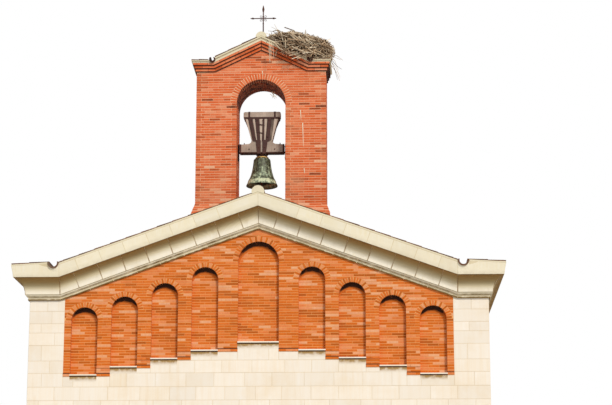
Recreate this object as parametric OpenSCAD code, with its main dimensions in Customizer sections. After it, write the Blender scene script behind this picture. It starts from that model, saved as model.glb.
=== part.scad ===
/* [Gabled front] */
// Width of the stone front
front_w = 10280; // [9800:10:11000]
// Length of the building from front face to rear face
nave_l = 8000; // [6000:100:10000]
// Thickness of the front wall, which carries the bell gable
front_wall_t = 1700; // [1650:10:2000]
// Thickness of the side and rear walls
wall_t = 800; // [500:10:900]
// Height of the underside of the cornice at the shoulders
bed_z = 8560; // [8300:10:9200]
// Distance from the middle to the kink where rake and shoulder meet
kink_x = 4450; // [4400:10:4500]
// Rise of the gable per unit of run
rake = 0.36; // [0.34:0.01:0.40]
// Fall of the shoulders per unit of run
shoulder_fall = 0.06; // [0.03:0.01:0.08]

/* [Cornice profile] */
// Height of the small bed mouldings
bed_h = 120; // [100:5:150]
// Height of the hollow moulding above them
cavetto_h = 358; // [300:2:380]
// Height of the plain fascia on the rakes
fascia_h = 282; // [240:2:310]
// Overhang of the fascia at its lower edge
cavetto_over = 334; // [280:2:360]
// Overhang of the fascia at its upper edge
fascia_over = 384; // [365:2:420]

/* [Brick panel] */
// Thickness of the brick panel
panel_t = 250; // [180:10:400]
// Depth of the blind niches
niche_d = 110; // [60:5:140]
// Width of the eight smaller niches
niche_w = 600; // [520:10:620]
// Spacing of the smaller niches
niche_pitch = 900; // [880:10:920]
// Width of the middle niche
mid_niche_w = 920; // [800:10:960]
// Distance from the middle to the first smaller niche
first_niche_x = 1200; // [1180:10:1240]
// Brick margin outside the last niche
panel_margin = 150; // [100:10:160]
// Depth of the half-brick arch rings
ring_h = 120; // [80:5:125]
// Drop of the outermost sills' tops below the cornice's underside
sill_drop = 1675; // [1560:5:1860]
// Rise from one sill to the next
sill_step = 180; // [150:5:190]
// Thickness of the sills
sill_h = 45; // [30:5:60]
// Projection of the sills from the brick face
sill_over = 30; // [10:5:50]
// Drop of the outermost niche crowns below the cornice's underside
crown_drop = 160; // [160:5:360]
// Rise from the outermost niche crown to the next
crown_step = 240; // [230:2:250]
// Growth of that rise from niche to niche
crown_gain = 30; // [20:1:32]
// Projection of the base course under each brick pier
base_over = 15; // [5:5:25]
// Height of one brick course with its joint
course_h = 60; // [50:1:70]

/* [Doorway] */
// Width of the doorway
door_w = 1800; // [1200:20:2200]
// Height of the doorway's springing line
door_spring_z = 2450; // [2000:20:2800]
// Height of the stones round the doorway's head
door_ring_h = 320; // [200:10:400]
// Depth of these stones from front to back
door_ring_d = 300; // [200:10:500]
// Projection of the doorstep
step_out = 250; // [200:10:400]
// Thickness of the door leaves
leaf_t = 60; // [40:5:80]
// Depth from the wall face to the door leaves
leaf_y = 600; // [300:10:900]
// Thickness of the floor
floor_t = 150; // [100:10:200]

/* [Roof] */
// Thickness of the roof layers measured upright
roof_t = 25; // [20:5:60]
// Spacing of the rows of half-round cover tiles
tile_pitch = 220; // [180:5:300]
// Height of the cover tiles above the roof layer
tile_rise = 72; // [60:2:80]
// Outside radius of the channel tiles at the kinks
gutter_r = 125; // [100:5:125]
// Wall of the channel tiles
gutter_t = 36; // [12:1:45]
// Radius of the mortared ridge tiles
ridge_r = 145; // [120:5:150]

/* [Bell gable] */
// Distance from the wall face to the front of the bell gable
belfry_y = 610; // [500:10:640]
// Thickness of the bell gable
belfry_t = 980; // [900:10:1000]
// Width of the bell gable
belfry_w = 3020; // [2900:10:3060]
// Width of the bell opening
arch_w = 1140; // [1120:10:1180]
// Rise of the arch's springing line above the roof's apex
spring_rise = 2378; // [2328:10:2578]
// Depth of the brick ring of the arch
arch_ring_h = 150; // [120:10:200]
// Rise of the stepped cornice's underside above the springing line
corbel_rise = 760; // [740:10:1000]
// Distance from the middle to the kink of the stepped cornice
belfry_kink_x = 1075; // [1000:5:1100]
// Rise of the small gable per unit of run
belfry_rake = 0.478; // [0.44:0.002:0.5]
// Projection of each of the three stepped courses
corbel_step = 28; // [15:1:35]
// Spread of the feet of the piers
foot_flare = 85; // [40:5:100]

/* [Bell] */
// Drop of the axle below the arch's springing line
axle_drop = 1070; // [1000:10:1100]
// Radius of the axle
axle_r = 25; // [20:1:30]
// Radial play between axle and bearing plates
axle_play = 0.05; // [0.02:0.01:0.1]
// Radius of the bell's lip
lip_r = 368; // [300:2:380]
// Height of the bell from lip to shoulder
bell_h = 660; // [600:5:690]
// Distance of the bell's shoulder below the axle
bell_drop = 150; // [130:5:170]
// Wall of the bell at its waist
bell_wall = 28; // [18:1:35]
// Thickness of the yoke from front to back
yoke_t = 200; // [160:10:240]
// Length of the yoke's lower beam
beam_l = 1040; // [960:10:1050]
// Width of the yoke's head
head_w = 870; // [700:10:900]

/* [Nest] */
// Radius of the nest at its widest
nest_r = 780; // [600:10:800]
// Distance of the nest from the middle
nest_x = 890; // [850:10:950]
// Rise of the nest's rim above the stepped cornice's underside
nest_rise = 900; // [860:10:960]
// Height of the nest from its foot to its rim
nest_h = 700; // [640:10:760]
// Tilt of the nest down the slope, in degrees
nest_tilt = 8; // [0:1:12]

/* [Hidden] */
$fn = 96;
stone = "#EFE2CC";
brick = "#D0682F";
red_brick = "#DA6A42";
tile = "#8A6A4E";
mortar = "#E6DBC3";
iron = "#3C3231";
timber = "#8A7668";
gap = 1;
seat = 0.1;
far = 3000;
half_w = front_w / 2;
rake_deg = atan(rake);
fascia_base = bed_h + cavetto_h;
wall_top = bed_z + fascia_base + fascia_h;
apex_z = wall_top + rake * kink_x;
sill_z = bed_z - sill_drop;
crown_z = bed_z - crown_drop;
spring_z = apex_z + spring_rise;
axle_z = spring_z - axle_drop;
tread = 150;
shoulder_top = wall_top + 25;
gutter_x = kink_x + gutter_r + 5;
mid_y = belfry_y + belfry_t / 2;
belfry_half = belfry_w / 2;
arch_r = arch_w / 2;
belfry_deg = atan(belfry_rake);
foot_top = apex_z - 22;
foot_bend = foot_top - 240;
corbel_z = spring_z + corbel_rise;
nest_z = corbel_z + nest_rise;
// Tops of the bell gable's layers, measured square to its rakes: three brick courses, mortar, tiles
layer_top = [72, 144, 205, 270, 300];
brick_top = layer_top[2];
mortar_top = layer_top[3];
tile_top = layer_top[4];
shoulder_share = 0.6;
mid_crown_extra = 160;
cavetto_foot = 100;
ridge_clear = 25;
plate_t = 16;
plate_top = axle_z - 15;
band_base = axle_z + 792;
band_top = band_base + 40;
yoke_head_h = 132;
belfry_ridge_r = 130;
belfry_gutter_r = 72;
belfry_gutter_x = belfry_kink_x + belfry_gutter_r;
belfry_channel_z = corbel_z + brick_top + belfry_gutter_r + 2;
sill_z_list = [for (k = [0:4]) sill_z + k * sill_step];
crown_list = [for (k = [0:4]) crown_z + crown_step * k + crown_gain * k * (k - 1)
    + (k == 4 ? mid_crown_extra : 0)];
niche_x_list = [for (k = [0:4]) k == 4 ? 0 : first_niche_x + (3 - k) * niche_pitch];
niche_w_list = [for (k = [0:4]) k == 4 ? mid_niche_w : niche_w];
panel_half = niche_x_list[0] + niche_w / 2 + panel_margin;

// A flat outline in X and Z made into a body between two depths
module along_y(y0, y1) {
    translate([0, y1, 0])
        rotate([90, 0, 0])
            linear_extrude(y1 - y0)
                children();
}

// A flat outline in Y and Z made into a body between two widths
module along_x(x0, x1) {
    translate([x0, 0, 0])
        rotate([90, 0, 90])
            linear_extrude(x1 - x0)
                children();
}

module both_sides() {
    children();
    mirror([1, 0, 0])
        children();
}

// Shoulder line of the walls at a distance x from the middle
function shoulder_at(x) = shoulder_top - shoulder_fall * (x - kink_x);

// The same points on the other side of the middle, in turn
function mirrored(points) = [for (i = [len(points) - 1:-1:0]) [-points[i][0], points[i][1]]];

module gutter_cut() {
    translate([gutter_x, shoulder_top])
        circle(r = gutter_r + gap);
}

module gable_outline() {
    right = [[half_w, 0], [half_w, shoulder_at(half_w)], [kink_x, shoulder_at(kink_x)],
        [kink_x, wall_top]];
    difference() {
        polygon(concat(right, [[0, apex_z]], mirrored(right)));
        gutter_cut();
        mirror([1, 0])
            gutter_cut();
    }
}

module round_head(w, z0, spring) {
    translate([-w / 2, z0])
        square([w, spring - z0]);
    translate([0, spring])
        circle(d = w);
}

// Stepped underside and raking top of the brick panel
module panel_outline() {
    steps = [for (k = [4:-1:0]) let(
        inner = k == 4 ? 0 : niche_x_list[k + 1] + niche_w_list[k + 1] / 2,
        outer = k == 0 ? panel_half : niche_x_list[k] + niche_w_list[k] / 2,
        z = sill_z_list[k] - sill_h) each [[inner, z], [outer, z]]];
    right = concat([for (p = steps) if (p[0] > 0) p],
        [[panel_half, bed_z + rake * (kink_x - panel_half)]]);
    polygon(concat(right, [[0, bed_z + rake * kink_x]], mirrored(right)));
}

module niche_outline(k, extra) {
    spring = crown_list[k] - niche_w_list[k] / 2;
    translate([niche_x_list[k], 0]) {
        translate([-niche_w_list[k] / 2, sill_z_list[k] - sill_h])
            square([niche_w_list[k], spring - sill_z_list[k] + sill_h]);
        intersection() {
            translate([0, spring])
                circle(d = niche_w_list[k] + 2 * extra);
            translate([-far, spring])
                square([2 * far, far]);
        }
    }
}

module every_niche() {
    for (k = [0:4]) {
        $k = k;
        children();
        if (k < 4)
            mirror([1, 0, 0])
                children();
    }
}

// Points of the moulded cornice: outward offset and height, the hollow drawn as part of an ellipse
function cornice_points(top_h) = concat(
    [[0, 0], [40, 0], [40, bed_h * 0.28], [30, bed_h * 0.33], [34, bed_h * 0.42],
     [50, bed_h * 0.58], [76, bed_h * 0.72], [84, bed_h * 0.82], [84, bed_h * 0.95],
     [cavetto_foot, bed_h]],
    [for (i = [1:7]) let(t = i / 8) [
        cavetto_foot + (cavetto_over - cavetto_foot) * (0.1 * t + 0.9 * (1 - cos(90 * t))),
        bed_h + cavetto_h * (0.1 * t + 0.9 * sin(90 * t))]],
    [[cavetto_over, fascia_base],
     [cavetto_over + (fascia_over - cavetto_over) * top_h / fascia_h, fascia_base + top_h],
     [0, fascia_base + top_h]]);

module cornice_profile(top_h, s, sign) {
    polygon([for (p = cornice_points(top_h)) [sign * p[0], p[1] * s]]);
}

module above_shoulder() {
    along_y(-far, nave_l + far)
        polygon([[kink_x - gap, shoulder_at(kink_x - gap)], [half_w + far, shoulder_at(half_w + far)],
            [half_w + far, shoulder_top + far], [kink_x - gap, shoulder_top + far]]);
    along_y(-far, nave_l + far)
        gutter_cut();
}

// The moulding of one gable: a rake and a level shoulder on each side, with fine joints between
module gable_cornice() {
    both_sides() {
        intersection() {
            translate([0, 0, bed_z + rake * kink_x])
                rotate([0, rake_deg, 0])
                    along_x(-far, kink_x + far)
                        cornice_profile(fascia_h - seat, cos(rake_deg), -1);
            translate([gap / 2, -far, 0])
                cube([kink_x - gap, far, apex_z + far]);
        }
        difference() {
            intersection() {
                translate([0, 0, bed_z])
                    along_x(kink_x + gap / 2, half_w + far)
                        cornice_profile(fascia_h + 30, 1, -1);
                linear_extrude(apex_z)
                    polygon([[kink_x, 0], [half_w, 0], [half_w + far, -far], [kink_x, -far]]);
            }
            above_shoulder();
        }
    }
}

module eaves_cornice() {
    difference() {
        intersection() {
            along_y(-far, nave_l + far)
                translate([half_w, bed_z])
                    cornice_profile(fascia_h + 30, 1, 1);
            linear_extrude(apex_z)
                polygon([[half_w, 0], [half_w + far, -far], [half_w + far, nave_l + far],
                    [half_w, nave_l]]);
        }
        above_shoulder();
    }
}

// Sections of the half-round cover tiles, which reach into the layer they lie on
module tile_section() {
    rows = floor((nave_l - tile_pitch) / tile_pitch);
    first = (nave_l - rows * tile_pitch) / 2;
    rib = [[-66, 0], [-61, 0.5], [-35, 0.85], [0, 1], [35, 0.85], [61, 0.5], [66, 0]];
    for (i = [0:rows])
        translate([first + i * tile_pitch, 0])
            polygon([for (p = rib) [p[0], (tile_rise + roof_t / 2) * p[1] - roof_t / 2]]);
}

// Half of the pitched roof, cut round the feet of the bell gable
module roof_half() {
    difference() {
        union() {
            along_y(-fascia_over, nave_l + fascia_over)
                polygon([[0, apex_z], [kink_x, wall_top], [kink_x, wall_top + roof_t],
                    [0, apex_z + roof_t]]);
            intersection() {
                translate([0, 0, apex_z + roof_t])
                    rotate([0, rake_deg, 0])
                        along_x(0, kink_x + far)
                            tile_section();
                translate([ridge_r + ridge_clear, -far, 0])
                    cube([kink_x - ridge_r - ridge_clear - 2 * gap, nave_l + 2 * far, apex_z + far]);
            }
        }
        foot_form(gap);
    }
}

module eaves_roof_half() {
    x0 = gutter_x + gutter_r + 5;
    x1 = half_w + fascia_over;
    along_y(-fascia_over, nave_l + fascia_over)
        polygon([[x0, shoulder_at(x0)], [x1, shoulder_at(x1)], [x1, shoulder_at(x1) + roof_t],
            [x0, shoulder_at(x0) + roof_t]]);
    intersection() {
        translate([x0, 0, shoulder_at(x0) + roof_t])
            rotate([0, atan(shoulder_fall), 0])
                along_x(-far, far)
                    tile_section();
        translate([x0 + 2 * gap, -far, 0])
            cube([x1 - x0 - 4 * gap, nave_l + 2 * far, apex_z + far]);
    }
}

// The form of one pier's foot down to the ground, grown by extra
module foot_form(extra) {
    x0 = arch_r - extra;
    x1 = belfry_half + extra;
    y0 = belfry_y - extra;
    y1 = belfry_y + belfry_t + extra;
    intersection() {
        along_y(0, far)
            polygon([[x0, 0], [x1 + foot_flare, 0], [x1 + foot_flare, foot_bend], [x1, foot_top],
                [x0, foot_top]]);
        along_x(0, far)
            polygon([[y0 - foot_flare, 0], [y1 + foot_flare, 0], [y1 + foot_flare, foot_bend],
                [y1, foot_top], [y0, foot_top], [y0 - foot_flare, foot_bend]]);
    }
}

module foot() {
    intersection() {
        foot_form(0);
        along_y(0, far)
            polygon([[0, apex_z], [far, apex_z - rake * far], [far, apex_z + far], [0, apex_z + far]]);
    }
}

// One side of the bell gable's top line, moved outward by d
function belfry_kink(d) = (belfry_apex(d) - belfry_level(d)) / belfry_rake;
function belfry_apex(d) = corbel_z + belfry_rake * belfry_kink_x + d / cos(belfry_deg);

// Height of the same layer on the shoulders, where mortar and tiles lie thinner
function belfry_level(d) = corbel_z + min(d, brick_top) + shoulder_share * max(0, d - brick_top);

module belfry_band(d0, d1, over) {
    x1 = belfry_half + over;
    along_y(belfry_y - over, belfry_y + belfry_t + over)
        polygon([[0, belfry_apex(d0)], [belfry_kink(d0), belfry_level(d0)], [x1, belfry_level(d0)],
            [x1, belfry_level(d1)], [belfry_kink(d1), belfry_level(d1)], [0, belfry_apex(d1)],
            [-belfry_kink(d1), belfry_level(d1)], [-x1, belfry_level(d1)], [-x1, belfry_level(d0)],
            [-belfry_kink(d0), belfry_level(d0)]]);
}

module belfry_gutter_cut(extra) {
    both_sides()
        along_y(belfry_y - far, belfry_y + far)
            translate([belfry_gutter_x, belfry_channel_z])
                circle(r = belfry_gutter_r + extra);
}

module front_wall() {
    color(stone)
        difference() {
            along_y(0, front_wall_t)
                gable_outline();
            along_y(-far, panel_t)
                panel_outline();
            along_y(-far, far)
                round_head(door_w, -far, door_spring_z);
            along_y(-far, door_ring_d)
                intersection() {
                    translate([0, door_spring_z])
                        circle(d = door_w + 2 * door_ring_h);
                    translate([-far, door_spring_z])
                        square([2 * far, far]);
                }
        }
}

module side_wall() {
    color(stone)
        along_y(front_wall_t, nave_l - wall_t)
            intersection() {
                gable_outline();
                translate([half_w - wall_t, -1])
                    square([wall_t, apex_z]);
            }
}

module left_wall() {
    mirror([1, 0, 0])
        side_wall();
}

module right_wall() {
    side_wall();
}

module rear_wall() {
    color(stone)
        along_y(nave_l - wall_t, nave_l)
            gable_outline();
}

module nave_floor() {
    color("#B9AC98")
        union() {
            translate([-half_w + wall_t, front_wall_t, 0])
                cube([front_w - 2 * wall_t, nave_l - wall_t - front_wall_t, floor_t]);
            translate([-door_w / 2, leaf_y - 40, 0])
                cube([door_w, front_wall_t - leaf_y + 60, floor_t]);
        }
}

module door_step() {
    color(stone)
        translate([-door_w / 2, -step_out, 0])
            difference() {
                cube([door_w, step_out + leaf_y - 40, floor_t]);
                translate([-gap, -gap, floor_t / 2])
                    cube([door_w + 2 * gap, tread + gap, floor_t]);
            }
}

module door_arch() {
    color(stone)
        along_y(0, door_ring_d)
            difference() {
                translate([0, door_spring_z])
                    circle(d = door_w + 2 * door_ring_h);
                translate([0, door_spring_z])
                    circle(d = door_w);
                translate([-far, door_spring_z - far])
                    square([2 * far, far]);
            }
}

module door_leaf() {
    color("#6E4B33")
        along_y(leaf_y, leaf_y + leaf_t)
            intersection() {
                round_head(door_w - 6, floor_t + 5, door_spring_z);
                translate([2, 0])
                    square([far, far * 2]);
            }
}

module left_door_leaf() {
    mirror([1, 0, 0])
        door_leaf();
}

module right_door_leaf() {
    door_leaf();
}

module brick_panel() {
    color(brick)
        difference() {
            along_y(0, panel_t)
                panel_outline();
            every_niche()
                along_y(-far, niche_d)
                    niche_outline($k, ring_h);
        }
}

module niche_arch_rings() {
    color("#C4582A")
        every_niche()
            along_y(0, niche_d)
                difference() {
                    niche_outline($k, ring_h);
                    translate([niche_x_list[$k], crown_list[$k] - niche_w_list[$k] / 2])
                        circle(d = niche_w_list[$k]);
                    translate([-far * 2, 0])
                        square([far * 4, crown_list[$k] - niche_w_list[$k] / 2]);
                }
}

module niche_sills() {
    color(stone)
        every_niche()
            translate([niche_x_list[$k] - niche_w_list[$k] / 2, -sill_over, sill_z_list[$k] - sill_h])
                cube([niche_w_list[$k], sill_over + niche_d, sill_h]);
}

module pier_base_courses() {
    color(brick)
        both_sides() {
            translate([panel_half - panel_margin, -base_over, sill_z_list[0] - sill_h])
                cube([panel_margin, base_over, course_h]);
            for (k = [0:3]) {
                x0 = niche_x_list[k + 1] + niche_w_list[k + 1] / 2;
                x1 = niche_x_list[k] - niche_w_list[k] / 2;
                translate([x0, -base_over, sill_z_list[k] - sill_h])
                    cube([x1 - x0, base_over, course_h]);
            }
        }
}

module front_cornice() {
    color(stone)
        gable_cornice();
}

module rear_cornice() {
    color(stone)
        translate([0, nave_l, 0])
            mirror([0, 1, 0])
                gable_cornice();
}

module left_eaves_cornice() {
    color(stone)
        mirror([1, 0, 0])
            eaves_cornice();
}

module right_eaves_cornice() {
    color(stone)
        eaves_cornice();
}

module left_roof() {
    color(tile)
        mirror([1, 0, 0])
            roof_half();
}

module right_roof() {
    color(tile)
        roof_half();
}

module left_eaves_roof() {
    color(tile)
        mirror([1, 0, 0])
            eaves_roof_half();
}

module right_eaves_roof() {
    color(tile)
        eaves_roof_half();
}

module gutter_channels() {
    color(tile)
        both_sides()
            along_y(-fascia_over - 20, nave_l + fascia_over + 20)
                translate([gutter_x, shoulder_top])
                    difference() {
                        circle(r = gutter_r);
                        circle(r = gutter_r - gutter_t);
                        translate([-far, 30])
                            square([2 * far, far]);
                    }
}

module ridge_tiles() {
    color(mortar)
        along_y(-fascia_over - 10, nave_l + fascia_over + 10)
            difference() {
                translate([0, apex_z + roof_t])
                    circle(r = ridge_r);
                polygon([[-far, apex_z + roof_t - rake * far], [0, apex_z + roof_t],
                    [far, apex_z + roof_t - rake * far], [far, -far], [-far, -far]]);
            }
}

module left_foot() {
    color(red_brick)
        mirror([1, 0, 0])
            foot();
}

module right_foot() {
    color(red_brick)
        foot();
}

module pier() {
    color(red_brick)
        translate([arch_r, belfry_y, foot_top])
            cube([belfry_half - arch_r, belfry_t, spring_z - foot_top]);
}

module left_pier() {
    mirror([1, 0, 0])
        pier();
}

module right_pier() {
    pier();
}

module belfry_arch_ring() {
    color("#E08A55")
        along_y(belfry_y, belfry_y + belfry_t)
            difference() {
                translate([0, spring_z])
                    circle(r = arch_r + arch_ring_h);
                translate([0, spring_z])
                    circle(r = arch_r);
                translate([-far, spring_z - far])
                    square([2 * far, far]);
            }
}

module gable_head() {
    color(red_brick)
        along_y(belfry_y, belfry_y + belfry_t)
            difference() {
                polygon([[-belfry_half, spring_z], [belfry_half, spring_z], [belfry_half, corbel_z],
                    [belfry_kink_x, corbel_z], [0, belfry_apex(0)], [-belfry_kink_x, corbel_z],
                    [-belfry_half, corbel_z]]);
                translate([0, spring_z])
                    circle(r = arch_r + arch_ring_h);
            }
}

module belfry_cornice() {
    color(red_brick)
        union() {
            belfry_band(0, layer_top[0], corbel_step);
            belfry_band(layer_top[0], layer_top[1], 2 * corbel_step);
            belfry_band(layer_top[1], brick_top, 3 * corbel_step);
        }
}

module mortar_band() {
    color(mortar)
        difference() {
            belfry_band(brick_top, mortar_top, 3 * corbel_step + 6);
            belfry_gutter_cut(gap);
        }
}

module belfry_roof() {
    color(tile)
        difference() {
            belfry_band(mortar_top, tile_top, 4 * corbel_step + 10);
            belfry_gutter_cut(gap);
        }
}

module belfry_gutters() {
    color(tile)
        both_sides()
            along_y(belfry_y - 4 * corbel_step - 20, belfry_y + belfry_t + 4 * corbel_step + 20)
                translate([belfry_gutter_x, belfry_channel_z])
                    difference() {
                        circle(r = belfry_gutter_r);
                        translate([0, 12])
                            circle(r = belfry_gutter_r - 26);
                        translate([-far, 50])
                            square([2 * far, far]);
                    }
}

module belfry_ridge_tile() {
    color(mortar)
        along_y(belfry_y - 4 * corbel_step - 16, belfry_y + belfry_t + 4 * corbel_step + 16)
            difference() {
                translate([0, belfry_apex(tile_top) - 30])
                    circle(r = belfry_ridge_r);
                polygon([[-far, belfry_apex(tile_top) - belfry_rake * far], [0, belfry_apex(tile_top)],
                    [far, belfry_apex(tile_top) - belfry_rake * far], [far, 0], [-far, 0]]);
            }
}

// Room taken by the half-round ridge tile of the bell gable
module belfry_ridge_round(extra) {
    along_y(-far, far * 2)
        translate([0, belfry_apex(tile_top) - 30])
            circle(r = belfry_ridge_r + extra);
}

module cross() {
    top = belfry_apex(tile_top) - 30 + belfry_ridge_r;
    arms_z = 515;
    tip_z = 680;
    color(iron)
        difference() {
            translate([10, mid_y, top]) {
                translate([0, 0, -20])
                    cylinder(r = 15, h = 760);
                translate([0, 0, -20])
                    cylinder(r = 32, h = 60);
                translate([0, 0, tip_z])
                    rotate_extrude()
                        polygon([[0, 0], [16, 0], [26, 45], [20, 90], [0, 170]]);
                translate([0, 0, arms_z])
                    rotate([0, 90, 0])
                        cylinder(r = 13, h = 520, center = true);
                for (s = [0, 180])
                    rotate([0, 0, s])
                        translate([220, 0, arms_z])
                            rotate([0, 90, 0])
                                rotate_extrude()
                                    polygon([[0, 0], [14, 0], [24, 25], [18, 50], [0, 90]]);
                translate([0, 0, arms_z])
                    rotate([90, 0, 0])
                        cylinder(r = 34, h = 24, center = true);
            }
            belfry_ridge_round(0);
        }
}

module nest() {
    // Outline as shares of the radius and of the height down from the rim; the top is heaped
    shares = [[0, 1], [0.78, 1], [0.93, 0.61], [1, 0.31], [0.95, 0.11], [0.82, 0], [0.55, -0.11],
        [0, -0.18]];
    seat_d = tile_top + 2 * gap;
    color("#A09080")
        difference() {
            translate([nest_x, mid_y, nest_z])
                rotate([0, nest_tilt, 0])
                    rotate_extrude()
                        polygon([for (p = shares) [nest_r * p[0], -nest_h * p[1]]]);
            along_y(-far, far * 2)
                polygon([[-far, 0], [far, 0], [far, belfry_level(seat_d)],
                    [belfry_kink(seat_d), belfry_level(seat_d)], [0, belfry_apex(seat_d)],
                    [-far, belfry_apex(seat_d)]]);
            belfry_ridge_round(2 * gap);
            translate([-far + 40, -far, 0])
                cube([far, far * 3, nest_z + far]);
            belfry_gutter_cut(2 * gap);
        }
}

module bearing_plates() {
    color(iron)
        both_sides()
            difference() {
                translate([arch_r - 30, mid_y - 90, axle_z - 190])
                    cube([30, 180, 370]);
                translate([arch_r - 31, mid_y, axle_z])
                    rotate([0, 90, 0])
                        cylinder(r = axle_r + axle_play, h = 40);
            }
}

module axle() {
    color(iron)
        both_sides()
            translate([beam_l / 2 - 110, mid_y, axle_z])
                rotate([0, 90, 0])
                    cylinder(r = axle_r, h = arch_r - beam_l / 2 + 107);
}

module axle_cut() {
    both_sides()
        translate([beam_l / 2 - 110, mid_y, axle_z])
            rotate([0, 90, 0])
                cylinder(r = axle_r, h = 400);
}

module yoke_head() {
    color(timber)
        translate([-head_w / 2, mid_y - yoke_t / 2 - 10, band_top])
            cube([head_w, yoke_t + 20, yoke_head_h]);
}

// Flared block of the yoke between head and beam
module yoke_body() {
    color(timber)
        along_y(mid_y - yoke_t / 2, mid_y + yoke_t / 2)
            polygon([for (s = [-1, 1]) each [for (i = [0:5]) let(
                t = s < 0 ? i / 5 : 1 - i / 5,
                z = axle_z + 270 + (band_base - axle_z - 270) * t,
                x = 245 + 165 * pow(t, 1.5)) [s * x, z]]]);
}

module yoke_beam() {
    color(timber)
        difference() {
            along_y(mid_y - yoke_t / 2, mid_y + yoke_t / 2)
                polygon([[-beam_l / 2, plate_top], [beam_l / 2, plate_top],
                    [beam_l / 2, axle_z + 175], [330, axle_z + 190], [245, axle_z + 270],
                    [-245, axle_z + 270], [-330, axle_z + 190], [-beam_l / 2, axle_z + 175]]);
            axle_cut();
        }
}

// Flat irons that tie bell, beam and head together, in front and behind
module yoke_straps() {
    color(iron) {
        translate([-head_w / 2 + 15, mid_y - yoke_t / 2 - 18, band_base])
            cube([head_w - 30, yoke_t + 36, band_top - band_base]);
        for (s = [-1, 1])
            along_y(mid_y + s * (yoke_t / 2 + 7) - 7, mid_y + s * (yoke_t / 2 + 7) + 7)
                for (m = [-1, 1])
                    for (q = [0, 1])
                        polygon([[m * (60 + 60 * q), plate_top], [m * (95 + 60 * q), plate_top],
                            [m * (160 + 150 * q), band_base], [m * (110 + 150 * q), band_base]]);
    }
}

module yoke_plate() {
    color(iron)
        difference() {
            translate([-beam_l / 2, mid_y - yoke_t / 2 - 14, plate_top - plate_t])
                cube([beam_l, yoke_t + 28, plate_t]);
            axle_cut();
        }
}

bell_top = axle_z - bell_drop;
bell_lip = bell_top - bell_h;
clapper_l = bell_h - 100;

// Outer radius of the bell as shares of the lip radius against shares of its height
bell_waist = [[0.96, 0.06], [0.93, 0.10], [0.889, 0.173], [0.83, 0.235], [0.782, 0.28],
    [0.725, 0.36], [0.676, 0.4545], [0.63, 0.56], [0.595, 0.671], [0.565, 0.80], [0.54, 0.92]];

module bell() {
    inner = [for (i = [len(bell_waist) - 1:-1:0])
        [lip_r * bell_waist[i][0] - bell_wall * (i < 2 ? 1.3 : 1), bell_h * bell_waist[i][1]]];
    color("#6F7B55")
        translate([0, mid_y, bell_lip])
            rotate_extrude()
                polygon(concat([[lip_r - 12, 0], [lip_r, 0], [lip_r, bell_h * 0.025]],
                    [for (p = bell_waist) [lip_r * p[0], bell_h * p[1]]],
                    [[lip_r * 0.5, bell_h * 0.975], [lip_r * 0.42, bell_h], [0, bell_h],
                     [0, bell_h - 35], [lip_r * 0.36, bell_h - 40]],
                    [for (i = [0:len(inner) - 1]) if (inner[i][1] < bell_h - 45) inner[i]]));
}

// Ring on the bell's shoulder with the boss and the splayed arms that hang it from the plate
module bell_crown() {
    ring_top = 28;
    hang = plate_top - plate_t - bell_top;
    color("#B08D4A")
        translate([0, mid_y, bell_top])
            union() {
                cylinder(r = lip_r * 0.42, h = ring_top);
                cylinder(r = 60, h = hang);
                along_y(-35, 35)
                    for (m = [-1, 1])
                        polygon([[m * 50, ring_top - 5], [m * 95, ring_top - 5], [m * 158, hang],
                            [m * 118, hang]]);
            }
}

module clapper() {
    color(iron)
        translate([0, mid_y, bell_top - 41])
            union() {
                translate([0, 0, -clapper_l])
                    cylinder(r = 12, h = clapper_l);
                translate([0, 0, -clapper_l])
                    rotate_extrude()
                        polygon([[0, -70], [22, -60], [45, -20], [45, 20], [22, 60], [0, 70]]);
            }
}

front_wall();
left_wall();
right_wall();
rear_wall();
nave_floor();
door_step();
door_arch();
left_door_leaf();
right_door_leaf();
brick_panel();
niche_arch_rings();
niche_sills();
pier_base_courses();
front_cornice();
rear_cornice();
left_eaves_cornice();
right_eaves_cornice();
left_roof();
right_roof();
left_eaves_roof();
right_eaves_roof();
gutter_channels();
ridge_tiles();
left_foot();
right_foot();
left_pier();
right_pier();
belfry_arch_ring();
gable_head();
belfry_cornice();
mortar_band();
belfry_roof();
belfry_gutters();
belfry_ridge_tile();
cross();
nest();
bearing_plates();
axle();
yoke_head();
yoke_body();
yoke_beam();
yoke_straps();
yoke_plate();
bell();
bell_crown();
clapper();
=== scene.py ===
"""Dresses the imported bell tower: brick, dressed stone, clay tile, timber, bronze and sticks."""

import math
from functools import partial

import bpy
import numpy as np
from bpy.props import FloatProperty, FloatVectorProperty, IntProperty, PointerProperty
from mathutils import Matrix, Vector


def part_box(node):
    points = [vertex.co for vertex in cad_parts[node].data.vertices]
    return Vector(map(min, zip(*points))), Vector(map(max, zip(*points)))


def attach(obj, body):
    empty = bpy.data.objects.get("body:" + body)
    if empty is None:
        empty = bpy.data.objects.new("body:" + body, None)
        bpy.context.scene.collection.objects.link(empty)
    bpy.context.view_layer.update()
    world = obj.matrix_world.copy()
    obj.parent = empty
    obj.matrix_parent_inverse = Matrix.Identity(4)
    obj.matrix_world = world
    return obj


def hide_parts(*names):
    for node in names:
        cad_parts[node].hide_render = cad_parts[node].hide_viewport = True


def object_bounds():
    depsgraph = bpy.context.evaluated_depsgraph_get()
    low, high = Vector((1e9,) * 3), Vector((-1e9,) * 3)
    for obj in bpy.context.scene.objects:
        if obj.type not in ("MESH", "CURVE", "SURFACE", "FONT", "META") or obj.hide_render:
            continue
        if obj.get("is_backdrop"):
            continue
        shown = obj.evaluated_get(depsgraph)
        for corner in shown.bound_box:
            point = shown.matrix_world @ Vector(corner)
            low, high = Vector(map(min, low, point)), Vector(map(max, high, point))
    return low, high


bl_info = {
    "name": "Bell tower",
    "version": (1, 0, 0),
    "blender": (4, 5, 0),
    "location": "3D View > Sidebar > Bell tower",
    "description": "Masonry, tiles, bell, yoke, doors and nest of a small bell tower",
    "category": "Add Mesh",
}

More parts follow.
